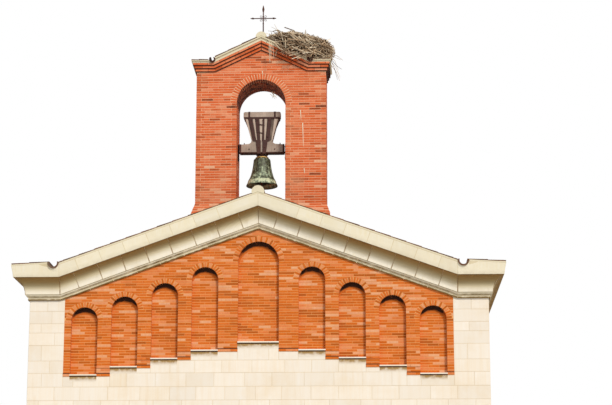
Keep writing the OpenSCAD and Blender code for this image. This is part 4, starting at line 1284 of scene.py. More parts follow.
def lathe(radius, height, turns, centre=(0, 0, 0), tint=None):
    """A closed turned body: the profile (radius, height), on the axis at both ends, goes round it.

    Points are (r cos a, r sin a, h) from centre, with one point at each end of the axis.
    """
    radius, height = np.asarray(radius, float), np.asarray(height, float)
    angle = np.arange(turns) * 2 * math.pi / turns
    r, h = radius[1:-1, None], height[1:-1, None]
    points = np.stack([r * np.cos(angle), r * np.sin(angle), h + 0 * angle], -1).reshape(-1, 3)
    j, rows, count = np.arange(turns), len(r), len(points)
    k, top = (j + 1) % turns, (rows - 1) * turns
    points = np.concatenate([points, [[0, 0, height[0]], [0, 0, height[-1]]]])
    caps = np.concatenate([np.stack([k, j, 0 * j + count], 1),
                           np.stack([top + j, top + k, 0 * j + count + 1], 1)])
    shade = np.full((len(points), 3), 0.5)
    if tint is not None:
        shade[:, 2] = tint(points)
    points = points + np.asarray(centre, float)
    return points, outward(points, [band(turns, rows), caps]), shade


def tube(path, radius, sides):
    """A closed round bar along a path: rings stand across it, each point at radius from the line."""
    step = unit(np.gradient(path, axis=0))
    helper = np.array([0.0, 1.0, 0.0]) if abs(step[:, 1]).max() < 0.9 else np.array([1.0, 0.0, 0.0])
    side = unit(np.cross(step, helper))
    other = np.cross(step, side)
    angle = (np.arange(sides) * 2 * math.pi / sides)[None, :, None]
    points = path[:, None] + radius * (np.cos(angle) * side[:, None] + np.sin(angle) * other[:, None])
    points, i = points.reshape(-1, 3), np.arange(sides)
    caps = np.stack([i[::-1], i + len(points) - sides])
    return points, outward(points, [band(sides, len(path)), caps]), np.full((len(points), 3), 0.5)


def slab(outline, y0, y1, chamfer=0.004, tone=0.5):
    """A closed board between two depths with eased edges: the outline is (x, z) points, four rings of it."""
    outline = np.asarray(outline, float)
    area = np.sum(outline[:, 0] * np.roll(outline[:, 1], -1) - np.roll(outline[:, 0], -1) * outline[:, 1])
    if area < 0:
        outline = outline[::-1]
    ahead, behind = (unit(np.roll(outline, way, 0) - outline) for way in (-1, 1))
    drawn = outline - chamfer * unit(np.stack([ahead[:, 1] - behind[:, 1], behind[:, 0] - ahead[:, 0]], 1))
    layers = [(drawn, y0), (outline, y0 + chamfer), (outline, y1 - chamfer), (drawn, y1)]
    points = np.concatenate([np.c_[ring[:, 0], np.full(len(ring), y), ring[:, 1]] for ring, y in layers])
    width, i = len(outline), np.arange(len(outline))
    tint = np.full((len(points), 3), tone)
    tint[width:-width, 2] = 0.0
    return points, outward(points, [band(width, 4), np.stack([i[::-1], i + 3 * width])]), tint


def bolt(x, y, z, radius, proud, sideways=False):
    """A domed bolt head, eight-sided: rings at 1, 0.8 and 0.4 of the radius rise towards the middle."""
    points, faces, tint = lathe([0, radius, radius, radius * 0.8, radius * 0.4, 0],
                                [-0.01, -0.01, proud * 0.4, proud * 0.8, proud, proud], 8)
    points = points[:, [2, 0, 1]] * (-1, 1, 1) if sideways else points[:, [0, 2, 1]] * (1, -1, 1)
    points = points + (x, y, z)
    return points, outward(points, faces), tint


# The yoke, the bell and the small ironwork

def bell_profile():
    """Outer and inner line of the bell from the middle of its crown down, over the lip and back inside."""
    line = np.array([
        (0.0, 1.0), (0.30, 1.0), (0.42, 0.998), (0.462, 0.99), (0.50, 0.975), (0.526, 0.95), (0.54, 0.92),
        (0.548, 0.90), (0.538, 0.885), (0.552, 0.86), (0.565, 0.80), (0.579, 0.735), (0.595, 0.671),
        (0.612, 0.612), (0.63, 0.56), (0.651, 0.505), (0.676, 0.4545), (0.70, 0.405), (0.725, 0.36),
        (0.752, 0.32), (0.782, 0.28), (0.83, 0.235), (0.862, 0.20), (0.889, 0.173), (0.897, 0.155),
        (0.893, 0.142), (0.915, 0.12), (0.93, 0.10), (0.96, 0.06), (0.988, 0.028), (1.000, 0.012),
        (0.998, 0.0),
        (0.965, 0.0), (0.90, 0.045), (0.83, 0.12), (0.76, 0.20), (0.70, 0.28), (0.64, 0.36), (0.59, 0.46),
        (0.55, 0.56), (0.515, 0.68), (0.485, 0.80), (0.45, 0.90), (0.34, 0.94), (0.0, 0.945)])
    return line[:, 0] * LIP_R, line[:, 1] * (BELL_TOP - BELL_LIP)


def bell_body():
    """The bell's turned wall, rounded at the shoulder, waisted, beaded above the bow and open below."""
    radius, height = bell_profile()
    verdigris = lambda p: np.interp(p[:, 2] / (BELL_TOP - BELL_LIP),
                                    [0.0, 0.03, 0.05, 0.07, 0.16, 0.185, 0.21, 0.32, 0.5, 1.0],
                                    [0.1, 0.1, 0.3, 0.72, 0.8, 0.4, -0.15, 0.3, 0.05, -0.05])
    turns = 96
    points, faces, tint = lathe(radius, height, turns, (0, MID_Y, BELL_LIP), verdigris)
    # green tells the outside from the inside, painted near black as shade, which starts past the thick lip
    tint[:, 1] = np.arange(len(points)) // turns < int(np.argmax(radius)) + 4
    tint[-1, 1] = 0
    return points, faces, tint


def bell_head():
    """The bright flat ring on the bell's shoulder."""
    return lathe([0, 0.149, 0.154, 0.154, 0.147, 0.120, 0.112, 0.070, 0],
                 [-0.004, -0.004, 0.002, 0.022, 0.029, 0.031, 0.026, 0.027, 0.027], 64, (0, MID_Y, BELL_TOP))


def crown_loops():
    """The dark boss on the bell's head and the cast loops that splay from it up to the plate."""
    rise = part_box("bell_crown")[1].z - BELL_TOP
    parts = [lathe([0, 0.060, 0.050, 0.048, 0.058, 0], [0.024, 0.024, 0.045, 0.075, rise, rise], 24,
                   (0, MID_Y, BELL_TOP))]
    t = np.linspace(0, 1, 7)
    for side in (1, -1):
        for foot, head in ((0.070, 0.138), (0.045, 0.095)):
            x = side * (foot + (head - foot) * t ** 0.7)
            parts.append(tube(np.c_[x, MID_Y + 0 * t, BELL_TOP + 0.026 + (rise - 0.028) * t], 0.016, 8))
    return joined(parts)


def clapper_iron():
    """An eye, a tapering rod and a ball with a stub below, hung inside the bell."""
    low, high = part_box("clapper")
    shares = np.array([0.35, 0.70, 0.76, 0.80, 0.84, 0.88, 0.92, 0.95, 0.995, 1.0])
    return lathe([0, 0.018, 0.015, 0.009, 0.011, 0.013, 0.030, 0.044, 0.046, 0.040, 0.022, 0.015, 0.010, 0],
                 np.r_[0, 0, -0.03, -0.06, -shares * (high.z - low.z)], 20, (0, MID_Y, high.z))


def yoke_half_width(z):
    """Half width of the flared block at height z: 0.245 + 0.165 t^1.5, t from the beam to the head."""
    t = np.clip((z - AXLE_Z - YOKE_BODY_LOW) / YOKE_BODY_H, 0, 1)
    return 0.245 + 0.165 * t ** 1.5


def yoke_woodwork():
    """Head, flared block, beam and laths, each a board with eased edges."""
    head_low, head_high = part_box("yoke_head")
    body_low, body_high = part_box("yoke_body")
    beam_low, beam_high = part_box("yoke_beam")
    z = np.linspace(body_low.z, body_high.z, 12)
    edge = yoke_half_width(z)
    body = slab(np.concatenate([np.c_[-edge[::-1], z[::-1]], np.c_[edge, z]]), body_low.y, body_high.y,
                0.012, 0.0)
    head = slab([(head_low.x, head_low.z), (head_high.x, head_low.z), (head_high.x, head_high.z - 0.02),
                 (head_high.x - 0.03, head_high.z), (head_low.x + 0.03, head_high.z),
                 (head_low.x, head_high.z - 0.02)], head_low.y, head_high.y, 0.010, 0.65)
    half, foot, top = beam_high.x, AXLE_Z - 0.015, AXLE_Z + 0.175
    sweep = np.linspace(0, math.pi / 2, 6)
    shoulder = np.c_[half - 0.19 - 0.085 * np.sin(sweep), top + 0.015 + 0.08 * (1 - np.cos(sweep))]
    beam = slab(np.concatenate([[(-half, foot), (half, foot), (half, top)], shoulder,
                                (shoulder * (-1, 1))[::-1], [(-half, top)]]),
                beam_low.y, beam_high.y, 0.012, 0.55)
    laths = [slab(corners(c, d, body_low.z - 0.03, body_high.z, a, b), body_low.y - 0.010,
                  body_low.y + 0.01, 0.003, 0.95 - 0.1 * (k % 2))
             for k, (a, b, c, d) in enumerate(FAN_LATHS)]
    return joined([body, head, beam] + laths + [mirror_y(lath) for lath in laths])


def yoke_ironwork():
    """Fanned irons, cross pieces, the band under the head, end caps and bolts."""
    head_low, head_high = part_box("yoke_head")
    body_low, body_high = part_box("yoke_body")
    beam_low, beam_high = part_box("yoke_beam")
    face, sunk = body_low.y - 0.014, body_low.y + 0.004
    front = [slab(corners(c, d, body_low.z - 0.02, body_high.z, a, b), face - 0.004, sunk, 0.003)
             for a, b, c, d in FAN_IRONS]
    front += [slab(corners(c, d, AXLE_Z - 0.05, body_low.z + 0.01, a, b), face - 0.006, sunk, 0.003)
              for a, b, c, d in ((-0.145, -0.028, -0.112, -0.028), (0.012, 0.138, 0.012, 0.092))]
    front += [slab(outline, face - 0.012, face, 0.003) for outline in CROSS_PIECES]
    front += [bolt(x, face - 0.004, z, 0.014, 0.014) for x, z in YOKE_BOLTS]
    parts = front + [mirror_y(part) for part in front]
    z = np.linspace(body_low.z + 0.1, body_high.z, 8)
    edge = yoke_half_width(z)
    for side in (1, -1):
        strip = np.concatenate([np.c_[side * (edge + 0.008), z], np.c_[side * (edge - 0.010), z][::-1]])
        cap = corners(side * (beam_high.x - 0.035), side * (beam_high.x + 0.004), AXLE_Z - 0.02,
                      AXLE_Z + 0.182)
        parts += [slab(strip, MID_Y - 0.05, MID_Y + 0.05, 0.003),
                  slab(cap, beam_low.y - 0.006, beam_high.y + 0.006, 0.003),
                  lathe([0, 0.012, 0.012, 0.007, 0], [0, 0, 0.05, 0.065, 0.065], 8,
                        (side * 0.42, MID_Y, AXLE_Z + 0.172)),
                  bolt(side * 0.30, beam_low.y, AXLE_Z + 0.06, 0.016, 0.016)]
    parts.append(slab(corners(head_low.x + 0.015, head_high.x - 0.015, head_low.z - 0.04, head_low.z),
                      body_low.y - 0.018, body_high.y + 0.018, 0.004))
    for x in (-0.30, 0.30):
        strap = slab(corners(x - 0.022, x + 0.022, head_low.z - 0.002, head_high.z + 0.004),
                     head_low.y - 0.008, head_low.y + 0.004, 0.003)
        parts += [strap, mirror_y(strap)]
    return joined(parts)


def yoke_underplate():
    """The plate below the beam, with its two bearing ends drawn thicker."""
    low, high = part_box("yoke_plate")
    parts = [slab(corners(low.x, high.x, low.z, high.z), low.y, high.y, 0.006)]
    for side in (1, -1):
        lug = corners(side * 0.44, side * (high.x - 0.01), low.z - 0.012, low.z + 0.01)
        parts.append(slab(lug, MID_Y - 0.06, MID_Y + 0.06, 0.004))
    return joined(parts)


def bearing_irons():
    """Upright plates with eased edges, each with four bolts."""
    low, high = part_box("bearing_plates")
    points, faces, tint = slab(corners(-(MID_Y + 0.09), -(MID_Y - 0.09), low.z, high.z), 0, 0.028, 0.003)
    points = np.stack([ARCH_R - points[:, 1], -points[:, 0], points[:, 2]], -1)
    group = [(points, outward(points, faces), tint)]
    group += [bolt(ARCH_R - 0.028, MID_Y + y, z, 0.013, 0.010, True)
              for y in (-0.055, 0.055) for z in (low.z + 0.05, high.z - 0.05)]
    return joined(group + [mirror_x(part) for part in group])


def iron_cross():
    """Round bars with swollen pointed ends, a collar at the foot and small scrolls at the crossing."""
    low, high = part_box("cross")
    middle, arms = (low.x + high.x) / 2, high.z - 0.323
    bar_r = [0, 0.034, 0.030, 0.016, 0.015, 0.014, 0.020, 0.014, 0.013, 0.022, 0.028, 0.018, 0.006, 0]
    bar_h = [-0.01, -0.01, 0.04, 0.055, 0.30, 0.40, 0.415, 0.43, 0.70, 0.735, 0.775, 0.82, 0.868, 0.87]
    upright = lathe(bar_r, bar_h, 12, (middle, MID_Y, high.z - 0.87))
    half_r, half_h = [0.006, 0.016, 0.025, 0.016, 0.012], np.array([0.308, 0.27, 0.245, 0.225, 0.215])
    points, faces, tint = lathe([0, *half_r, *half_r[::-1], 0], np.r_[-0.31, -half_h, half_h[::-1], 0.31], 12)
    points = points[:, [2, 1, 0]] * (1, 1, -1) + (middle, MID_Y, arms)
    parts = [upright, (points, outward(points, faces), tint)]
    t = np.linspace(0, 1, 16)
    turn = t * 2.1 * math.pi
    radius = 0.036 * (1 - 0.62 * t)
    for sx in (1, -1):
        for sz in (1, -1):
            curl = np.c_[middle + sx * (0.050 - radius * np.cos(turn)), MID_Y + 0 * t,
                         arms + sz * (0.050 - radius * np.sin(turn) * 0.9)]
            parts.append(tube(curl, 0.005, 6))
    return joined(parts)


def plank_leaf(rng):
    """A door leaf of upright boards under a half-round head, with two strap hinges and studs."""
    low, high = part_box("right_door_leaf")
    edges = np.linspace(low.x, high.x, 7)
    boards = list(zip(edges[:-1], edges[1:]))
    wood, metal = [], []
    for a, b in boards:
        x = np.linspace(b - 0.002, a + 0.002, 6)
        head = DOOR_SPRING + np.sqrt(np.maximum(high.x ** 2 - x ** 2, 0))
        outline = np.concatenate([[(a + 0.002, low.z), (b - 0.002, low.z)], np.c_[x, head]])
        wood.append(slab(outline, low.y, high.y, 0.004, rng.uniform(0.1, 0.9)))
    for z in (0.65, 2.15):
        metal.append(slab([(high.x - 0.02, z - 0.035), (high.x - 0.02, z + 0.035), (0.14, z + 0.018),
                           (0.10, z), (0.14, z - 0.018)], low.y - 0.010, low.y + 0.002, 0.002))
    metal += [bolt((a + b) / 2, low.y, z, 0.014, 0.010)
              for z in (0.40, 0.90, 1.40, 1.90, 2.40) for a, b in boards]
    return joined(wood), joined(metal)


def grain_map(points):
    """Timber's map in metres: u across the boards, v along them."""
    return np.stack([points[:, 0] + 0.7 * points[:, 1], points[:, 2]], 1)


# The nest

def nest_surface(share):
    """Radius and drop below the rim, in metres, along the nest's outline from foot to heaped middle."""
    knots = np.linspace(0, 1, 8)
    radius = np.interp(share, knots, [0.80, 0.93, 1.0, 0.95, 0.82, 0.55, 0.25, 0.0]) * NEST_R
    drop = np.interp(share, knots, [0.90, 0.62, 0.36, 0.20, 0.13, 0.10, 0.09, 0.09]) * NEST_H
    return radius, drop


def nest_placed(points):
    """From the nest's own frame into the tower's: tilted down the slope, set at its rim, laid on the tiles.

    What would pass through the gable's roof is lifted to lie on it.
    """
    turn = math.radians(NEST_TILT)
    x, y, z = points[..., 0], points[..., 1], points[..., 2]
    x, y, z = (NEST_AXIS + x * math.cos(turn) + z * math.sin(turn), MID_Y + y,
               NEST_RIM - x * math.sin(turn) + z * math.cos(turn))
    low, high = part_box("belfry_roof")
    over = (y > low.y - 0.02) & (y < high.y + 0.02) & (x < high.x + 0.02)
    tiles = np.maximum(CORBEL_Z + SHOULDER_TILES, high.z - BELFRY_RAKE * x) + 0.03
    z = np.where(over, np.maximum(z, tiles), np.maximum(z, CORBEL_Z + 0.16))
    return np.stack([np.maximum(x, 0.06), y, z], -1)


def nest_heap():
    """The matted body under the sticks: the nest's outline turned round its axis, drawn in by 3 cm."""
    radius, drop = nest_surface(np.linspace(0, 1, 22))
    points, faces, tint = lathe(np.r_[0, np.maximum(radius - 0.03, 0)], np.r_[-drop[0], -drop - 0.02], 48)
    return nest_placed(points), faces, tint


def bars(line, thick, rng):
    """Closed three-sided sticks: three rings each along lines of three points, thick at each point."""
    count = len(line)
    along = line[:, 2:] - line[:, :1]
    side = unit(np.cross(along, rng.normal(0, 1, (count, 1, 3))))
    other = unit(np.cross(along, side))
    angle = (np.arange(3) * 2 * math.pi / 3)[None, None, :, None]
    points = line[:, :, None] + thick[..., None, None] * (np.cos(angle) * side[:, :, None]
                                                          + np.sin(angle) * other[:, :, None])
    points = points.reshape(-1, 3)
    faces = [many(shape, count, 9) for shape in (band(3, 3), np.array([[2, 1, 0], [6, 7, 8]]))]
    return points, outward(points, faces), np.repeat(rng.random((count, 3)), 9, 0)


def twigs(size, rng):
    """Bent sticks in a loose tangle over the nest, clear of the tiles, with loose ends that hang out.

    Each lies at an angle round the nest and a share along its outline, runs mostly round it and leans in
    or out; some near the foot hang steeply.
    """
    count = size.sticks
    share = rng.random(count) ** 1.1
    radius, drop = nest_surface(share)
    radius = radius * rng.uniform(0.88, 1.03, count)
    around = rng.uniform(0, 2 * math.pi, count)
    length = size.stick_l * rng.uniform(0.5, 1.6, count)
    heading = around + math.pi / 2 + rng.normal(0, 0.6, count)
    steep = rng.normal(0, 0.34, count)
    hanging = (rng.random(count) < 0.14) & (share < 0.35)
    steep = np.where(hanging, -rng.uniform(0.5, 1.3, count), steep)
    direction = np.stack([np.cos(heading) * np.cos(steep), np.sin(heading) * np.cos(steep), np.sin(steep)], 1)
    middle = np.stack([radius * np.cos(around), radius * np.sin(around),
                       -drop + rng.uniform(-0.02, 0.05, count)], 1)
    bend = rng.normal(0, 0.09, (count, 3)) * length[:, None]
    part = np.array([-0.5, 0.0, 0.5])
    line = (middle[:, None] + direction[:, None] * (length[:, None] * part)[..., None]
            + bend[:, None] * (1 - 4 * part ** 2)[None, :, None])
    reach = np.linalg.norm(line[..., :2], axis=-1, keepdims=True)
    limit = NEST_R * (1.04 + 0.10 * rng.random((count, 1, 1)) ** 2)
    line[..., :2] *= np.minimum(1, limit / (reach + SMALL))
    top = 0.14 * rng.random((count, 1)) ** 4 - 0.07 * (reach[..., 0] / NEST_R) ** 2
    line[..., 2] = np.minimum(line[..., 2], top)
    thick = rng.uniform(0.005, 0.016, (count, 1)) * np.array([1.0, 0.9, 0.5])
    thin = np.tile([0.007, 0.006, 0.004], (len(LOOSE_TWIGS), 1))
    return joined([bars(nest_placed(line), thick, rng), bars(np.array(LOOSE_TWIGS), thin, rng)])


# Operators: one for each piece or group of like pieces

class BELLTOWER_OT_brick_panel(bpy.types.Operator):
    """Bricks, niche backs, niche arches and sills of the stepped panel"""
    bl_idname = "belltower.brick_panel"
    bl_label = "Brick panel"

    def execute(self, context):
        size, rng = context.scene.tower_masonry, np.random.default_rng(11)
        for name, part in (("panel_bricks", panel_bricks(size, rng)),
                           ("niche_back_bricks", niche_back_bricks(size, rng)),
                           # a dark strip under each sill stone: its painted shadow
                           ("sill_beds", sill_slabs(rng, -0.003, 0.017, 0.020, SOIL)),
                           ("niche_soot", niche_soot(rng)),
                           ("base_joints", base_joints(size, rng)),
                           ("niche_voussoirs", niche_voussoirs(size, rng))):
            build(name, part, finish_of(panel_brick))
        stone = finish_of(dressed_stone)
        build("sill_stones", sill_slabs(rng, 0.017, SILL_H + 0.002, SILL_OVER + 0.002, 0.0), stone,
              replaces=["niche_sills"])
        # the painted shadow that fades under each sill
        build("sill_stains", sill_stains(rng), stone)
        dress(finish_of(*PANEL_MORTAR), "brick_panel", "niche_arch_rings", "pier_base_courses")
        return {"FINISHED"}


class BELLTOWER_OT_stone_walls(bpy.types.Operator):
    """Dressed stones of the front, sides and rear"""
    bl_idname = "belltower.stone_walls"
    bl_label = "Stone walls"

    def execute(self, context):
        size, rng = context.scene.tower_masonry, np.random.default_rng(23)
        stone = finish_of(dressed_stone)
        for make in (front_stones, side_stones, rear_stones, door_voussoirs):
            build(make.__name__, make(size, rng), stone)
        dress(finish_of(*STONE_MORTAR), "front_wall", "left_wall", "right_wall", "rear_wall", "door_arch")
        dress(stone, "door_step", "nave_floor")
        return {"FINISHED"}


class BELLTOWER_OT_cornices(bpy.types.Operator):
    """Moulded stones of the gable cornices and the eaves"""
    bl_idname = "belltower.cornices"
    bl_label = "Cornices"

    def execute(self, context):
        size, rng = context.scene.tower_masonry, np.random.default_rng(31)
        bed, hollow, fascia = cornice_lines()
        # painted shade at the points of each line: under and behind the bed's fillets and under the fascia; the
        # hollow's tones paint its shade, dark at the top and pale at the foot
        dust = np.array([8.0, 6.0, 0.2, 3.2, 3.2, 2.2, 1.6, 0.5, 0.1, 1.2, 1.6])
        tones = np.array([1.0, 1.0, 0.84, 0.62, 0.40, 0.22, 0.10, 0.02, 0.0])
        for kind, finish, line, back, shift, *dirt in (
                ("bed", cornice_stone, bed, -0.03, 0.10, dust, 0.3),
                ("hollow", hollow_stone, hollow, 0.08, 0.32, 0 * tones, 2.6, tones),
                ("fascia", cornice_stone, fascia, 0.25, 0.18, np.array([2.0, 0.6, 0.0, 0.0]), 0.05)):
            run = (line, back, size.cornice_l, shift, rng, *dirt)
            parts = (gable_run(*run), mirror_y(gable_run(*run), NAVE_L / 2),
                     joined([eaves_run(*run), mirror_x(eaves_run(*run))]))
            for place, part in zip(("front", "rear", "eaves"), parts):
                build(f"{place}_cornice_{kind}", part, finish_of(finish))
        dress(finish_of(*CORNICE_MORTAR), "front_cornice", "rear_cornice", "left_eaves_cornice",
              "right_eaves_cornice")
        return {"FINISHED"}


class BELLTOWER_OT_roofs(bpy.types.Operator):
    """Barrel tiles of the roof and eaves, flat verge tiles and ridge tiles"""
    bl_idname = "belltower.roofs"
    bl_label = "Roofs"

    def execute(self, context):
        size, rng = context.scene.tower_roof, np.random.default_rng(43)
        tile = finish_of(roof_tile)
        top, down = APEX_Z + ROOF_T, KINK_X / RAKE_COS - 0.01
        slope = lambda a, b, c: np.stack([a * RAKE_COS + c * RAKE_SIN, b + 0 * a,
                                          top - a * RAKE_SIN + c * RAKE_COS], -1)
        under_foot = lambda a, b: ((a * RAKE_COS > ARCH_R - 0.06)
                                   & ((a - 0.42) * RAKE_COS < BELFRY_HALF + 0.12)
                                   & (np.abs(b - MID_Y) < (BELFRY_Y1 - BELFRY_Y0) / 2 + 0.20))
        columns = (0.04, NAVE_L - 0.04, size, rng)
        build("right_roof_tiles", tiled_slope(slope, down, *columns, 0.08, under_foot), tile)
        build("left_roof_tiles", mirror_x(tiled_slope(slope, down, *columns, 0.08, under_foot)), tile)
        x0 = GUTTER_X + GUTTER_R + 0.005
        z0 = shoulder_height(x0) + ROOF_T
        level = lambda a, b, c: np.stack([x0 + a, b + 0 * a, z0 - SHOULDER_FALL * a + c], -1)
        eaves = tiled_slope(level, EAVES_X - x0 - 0.01, *columns)
        build("eaves_tiles", joined([eaves, mirror_x(eaves)]), tile)
        runs = [((0.14 * RAKE_COS, 0.020 - VERGE_Y, top - 0.14 * RAKE_SIN), (RAKE_COS, 0, -RAKE_SIN),
                 (RAKE_SIN, 0, RAKE_COS), down - 0.14, size.verge_l),
                ((x0, 0.020 - VERGE_Y, z0), (1, 0, -SHOULDER_FALL), (0, 0, 1), EAVES_X - x0, size.verge_l)]
        for name, finish, part in (("verge_tiles", tile, flat_tiles(runs, 0.33, 0.019, rng, 0.012, 0.008)),
                                   ("verge_beds", finish_of(cornice_stone),
                                    flat_tiles(runs, 0.33, 0.009, rng, 0.0))):
            both = joined([part, mirror_x(part)])
            points, faces, tint = joined([both, mirror_y(both, NAVE_L / 2)])
            tint[:, 2] *= finish == tile
            build(name, (points, faces, tint), finish)
        level = lambda height: lambda a, b, c: np.stack([b + 0 * a, a, height + c], -1)
        rows = np.repeat([0.05 - VERGE_Y, NAVE_L + VERGE_Y + 0.004], 2)
        points, faces, tint = barrel_tiles(rows, np.tile([GUTTER_X, -GUTTER_X], 2), 0.055, GUTTER_R - 0.001,
                                           GUTTER_R - 0.001, 0.026, 0.0, -1, level(SHOULDER_TOP), rng, 1.0)
        # the channels' ends are painted near black all over as the shade inside them
        tint[:, 2] = SOIL
        build("channel_ends", (points, faces, tint), tile)
        rows = np.arange(-VERGE_Y - 0.004 + 0.43, NAVE_L + VERGE_Y + 0.01, 0.33)
        ridge = barrel_tiles(rows, 0 * rows, 0.43, 0.148, 0.152, size.wall, 0.0, 1, level(top), rng, 1.0)
        build("ridge_caps", ridge, tile)
        dress(tile, "gutter_channels")
        dress(finish_of(lime_mortar), "left_roof", "right_roof", "left_eaves_roof", "right_eaves_roof",
              "ridge_tiles")
        return {"FINISHED"}


class BELLTOWER_OT_bell_gable(bpy.types.Operator):
    """Bricks, arch and oversailing courses of the bell gable, with its small roof"""
    bl_idname = "belltower.bell_gable"
    bl_label = "Bell gable"

    def execute(self, context):
        size, rng = context.scene.tower_masonry, np.random.default_rng(57)
        for make in (gable_face_bricks, gable_side_bricks, gable_voussoirs, corbel_bricks):
            build(make.__name__, make(size, rng), finish_of(gable_brick))
        build("lime_runs", lime_runs(rng), finish_of(lime_mortar))
        dress(finish_of(*GABLE_MORTAR), "left_foot", "right_foot", "left_pier", "right_pier",
              "belfry_arch_ring", "gable_head")
        # the slots under the oversailing courses and the gable's channels show this mortar as painted shadow
        dress(finish_of(*SOOTY_MORTAR), "belfry_cornice", "belfry_gutters")
        dress(finish_of(lime_mortar), "mortar_band", "belfry_ridge_tile", "belfry_roof")
        low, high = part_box("belfry_roof")
        slope = lambda a, b, c: np.stack([a * BELFRY_COS + c * BELFRY_SIN, b + 0 * a,
                                          high.z - a * BELFRY_SIN + c * BELFRY_COS], -1)
        tiles = tiled_slope(slope, BELFRY_KINK / BELFRY_COS - 0.02, low.y + 0.28, high.y - 0.28,
                            context.scene.tower_roof, rng, 0.05)
        shoulder = BELFRY_KINK + 2 * GABLE_CHANNEL_R + 0.016
        run = high.x - shoulder
        verge = flat_tiles([((0.10 * BELFRY_COS, low.y - 0.004, high.z - 0.10 * BELFRY_SIN),
                             (BELFRY_COS, 0, -BELFRY_SIN), (BELFRY_SIN, 0, BELFRY_COS),
                             BELFRY_KINK / BELFRY_COS - 0.10, 0.35),
                            ((shoulder, low.y - 0.004, CORBEL_Z + SHOULDER_TILES), (1, 0, -0.02), (0, 0, 1),
                             run, run / 2)], 0.34, 0.018, rng, 0.012)
        half = joined([tiles, verge, mirror_y(verge)])
        build("gable_roof_tiles", joined([half, mirror_x(half)]), finish_of(roof_tile))
        return {"FINISHED"}


class BELLTOWER_OT_bell(bpy.types.Operator):
    """The bell, its bright head and its clapper"""
    bl_idname = "belltower.bell"
    bl_label = "Bell"

    def execute(self, context):
        turning = "bell_and_yoke"
        build("bell_wall", bell_body(), finish_of(bronze), turning, ["bell"], True)
        build("bell_head_ring", bell_head(), finish_of(bright_bronze), turning,
              ["bell_crown"], True)
        build("bell_crown_loops", crown_loops(), finish_of(iron), turning)
        build("clapper_iron", clapper_iron(), finish_of(iron), turning, ["clapper"], True)
        return {"FINISHED"}


class BELLTOWER_OT_yoke(bpy.types.Operator):
    """The wooden yoke that balances the bell, its irons, plate and bearings"""
    bl_idname = "belltower.yoke"
    bl_label = "Yoke"

    def execute(self, context):
        turning, wood = "bell_and_yoke", yoke_woodwork()
        build("yoke_timbers", wood, finish_of(*YOKE_TIMBER), turning,
              ["yoke_head", "yoke_body", "yoke_beam"], grain=grain_map(wood[0]))
        build("yoke_irons", yoke_ironwork(), finish_of(iron), turning, ["yoke_straps"])
        build("yoke_underplate", yoke_underplate(), finish_of(iron), turning, ["yoke_plate"])
        build("bearing_irons", bearing_irons(), finish_of(iron))
        dress(finish_of(iron), "axle", "bearing_plates")
        return {"FINISHED"}


class BELLTOWER_OT_cross(bpy.types.Operator):
    """The iron cross on the ridge of the bell gable"""
    bl_idname = "belltower.cross"
    bl_label = "Cross"

    def execute(self, context):
        build("iron_cross", iron_cross(), finish_of(iron), replaces=["cross"], smooth=True)
        return {"FINISHED"}


class BELLTOWER_OT_nest(bpy.types.Operator):
    """The nest of sticks on the right slope of the bell gable"""
    bl_idname = "belltower.nest"
    bl_label = "Nest"

    def execute(self, context):
        size, rng = context.scene.tower_nest, np.random.default_rng(71)
        build("nest_twigs", twigs(size, rng), finish_of(sticks))
        build("nest_heap", nest_heap(), finish_of(nest_core), replaces=["nest"])
        return {"FINISHED"}


class BELLTOWER_OT_doors(bpy.types.Operator):
    """The two leaves of the doorway"""
    bl_idname = "belltower.doors"
    bl_label = "Doors"

    def execute(self, context):
        rng = np.random.default_rng(83)
        for side, flip in (("right", lambda part: part), ("left", mirror_x)):
            wood, metal = (flip(part) for part in plank_leaf(rng))
            build(f"{side}_leaf_boards", wood, finish_of(*DOOR_TIMBER),
                  replaces=[f"{side}_door_leaf"], grain=grain_map(wood[0]))
            build(f"{side}_leaf_irons", metal, finish_of(iron))
        return {"FINISHED"}


def floor_paint():
    """Plain pale matt floor with a faint unevenness."""
    material, put = blank(bpy.data.materials.new("pale_floor_paint"))
    cloud = put("TexNoise", {"Vector": put("TexCoord").outputs["Object"], "Scale": 0.3})
    seen = put("ValToRGB", {"Fac": cloud}, [(0.3, linear("#D2D0CC")), (0.7, linear("#D9D7D3"))])
    put("OutputMaterial", {"Surface": put("BsdfPrincipled", {"Base Color": seen, "Roughness": 0.9})})
    return material


def pale_surround():
    """Even pale light from all round; what the camera sees directly or in metal is white."""
    world, put = blank(bpy.data.worlds.new("pale_surround"))
    path = put("LightPath").outputs
    seen = put("Math", {0: path["Is Camera Ray"], 1: path["Is Glossy Ray"]}, operation="MAXIMUM")
    seen = put("Math", {0: seen, 1: path["Is Transmission Ray"]}, operation="MAXIMUM")
    soft = put("Background", {"Color": linear("#EEF3FA"), "Strength": 0.50})
    white = put("Background", {"Color": grey(1.0), "Strength": 1.0})
    put("OutputWorld", {"Surface": put("MixShader", {0: seen, 1: soft, 2: white})})
    return world


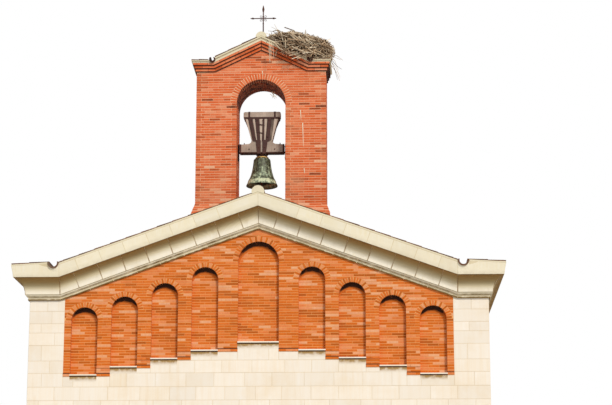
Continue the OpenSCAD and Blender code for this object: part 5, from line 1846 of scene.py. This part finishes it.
class BELLTOWER_OT_stage(bpy.types.Operator):
    """Floor, light, camera and a white surround; none of it is part of the tower"""
    bl_idname = "belltower.stage"
    bl_label = "Stage"

    def execute(self, context):
        scene = context.scene
        scene.view_settings.view_transform = "Standard"
        mesh = bpy.data.meshes.new("stage_floor")
        mesh.from_pydata([(x, y, -0.002) for x, y in corners(-150, 150, -150, 150)], [], [(0, 1, 2, 3)])
        mesh.materials.append(floor_paint())
        floor = bpy.data.objects.new("stage_floor", mesh)
        lamp = bpy.data.lights.new("sky_window", "SUN")
        lamp.energy, lamp.angle, lamp.color = 2.35, math.radians(12), (1.0, 0.97, 0.93)
        sun = bpy.data.objects.new("sky_window", lamp)
        sun.rotation_euler = (math.radians(50), 0, math.radians(28))
        camera = bpy.data.cameras.new("photo_camera")
        camera.sensor_width = 36.0
        camera.lens = CAMERA_FOCAL_PX / IMAGE_W * camera.sensor_width
        camera.clip_end = 1000.0
        eye = bpy.data.objects.new("photo_camera", camera)
        eye.location = CAMERA_PLACE
        eye.rotation_euler = (math.pi / 2 + CAMERA_PITCH, 0, CAMERA_TURN)
        for item in (floor, sun, eye):
            scene.collection.objects.link(item)
        floor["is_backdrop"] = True
        scene.camera = eye
        scene.world = pale_surround()
        return {"FINISHED"}


OPERATORS = (BELLTOWER_OT_brick_panel, BELLTOWER_OT_stone_walls, BELLTOWER_OT_cornices, BELLTOWER_OT_roofs,
             BELLTOWER_OT_bell_gable, BELLTOWER_OT_bell, BELLTOWER_OT_yoke, BELLTOWER_OT_cross,
             BELLTOWER_OT_nest, BELLTOWER_OT_doors, BELLTOWER_OT_stage)


class BELLTOWER_PT_sidebar(bpy.types.Panel):
    """Lists the tower's operators with their sizes"""
    bl_idname = "BELLTOWER_PT_sidebar"
    bl_label = "Bell tower"
    bl_space_type = "VIEW_3D"
    bl_region_type = "UI"
    bl_category = "Bell tower"

    def draw(self, context):
        for group in (context.scene.tower_masonry, context.scene.tower_roof, context.scene.tower_nest):
            for key in group.bl_rna.properties.keys():
                if key not in ("name", "rna_type"):
                    self.layout.prop(group, key)
        for operator in OPERATORS:
            self.layout.operator(operator.bl_idname)


GROUPS = (("tower_masonry", MasonrySizes), ("tower_roof", RoofSizes), ("tower_nest", NestSizes),
          ("tower_colours", FinishColours))


def register():
    for key, group in GROUPS:
        bpy.utils.register_class(group)
        setattr(bpy.types.Scene, key, PointerProperty(type=group))
    for item in OPERATORS + (BELLTOWER_PT_sidebar,):
        bpy.utils.register_class(item)


def unregister():
    for item in reversed(OPERATORS + (BELLTOWER_PT_sidebar,)):
        bpy.utils.unregister_class(item)
    for key, group in reversed(GROUPS):
        delattr(bpy.types.Scene, key)
        bpy.utils.unregister_class(group)


def main():
    register()
    for operator in OPERATORS:
        group, name = operator.bl_idname.split(".")
        getattr(getattr(bpy.ops, group), name)()
    boxes = {"cad": [list(corner) for corner in CAD_BOX], "visual": [list(corner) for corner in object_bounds()]}


if __name__ == "__main__":
    main()
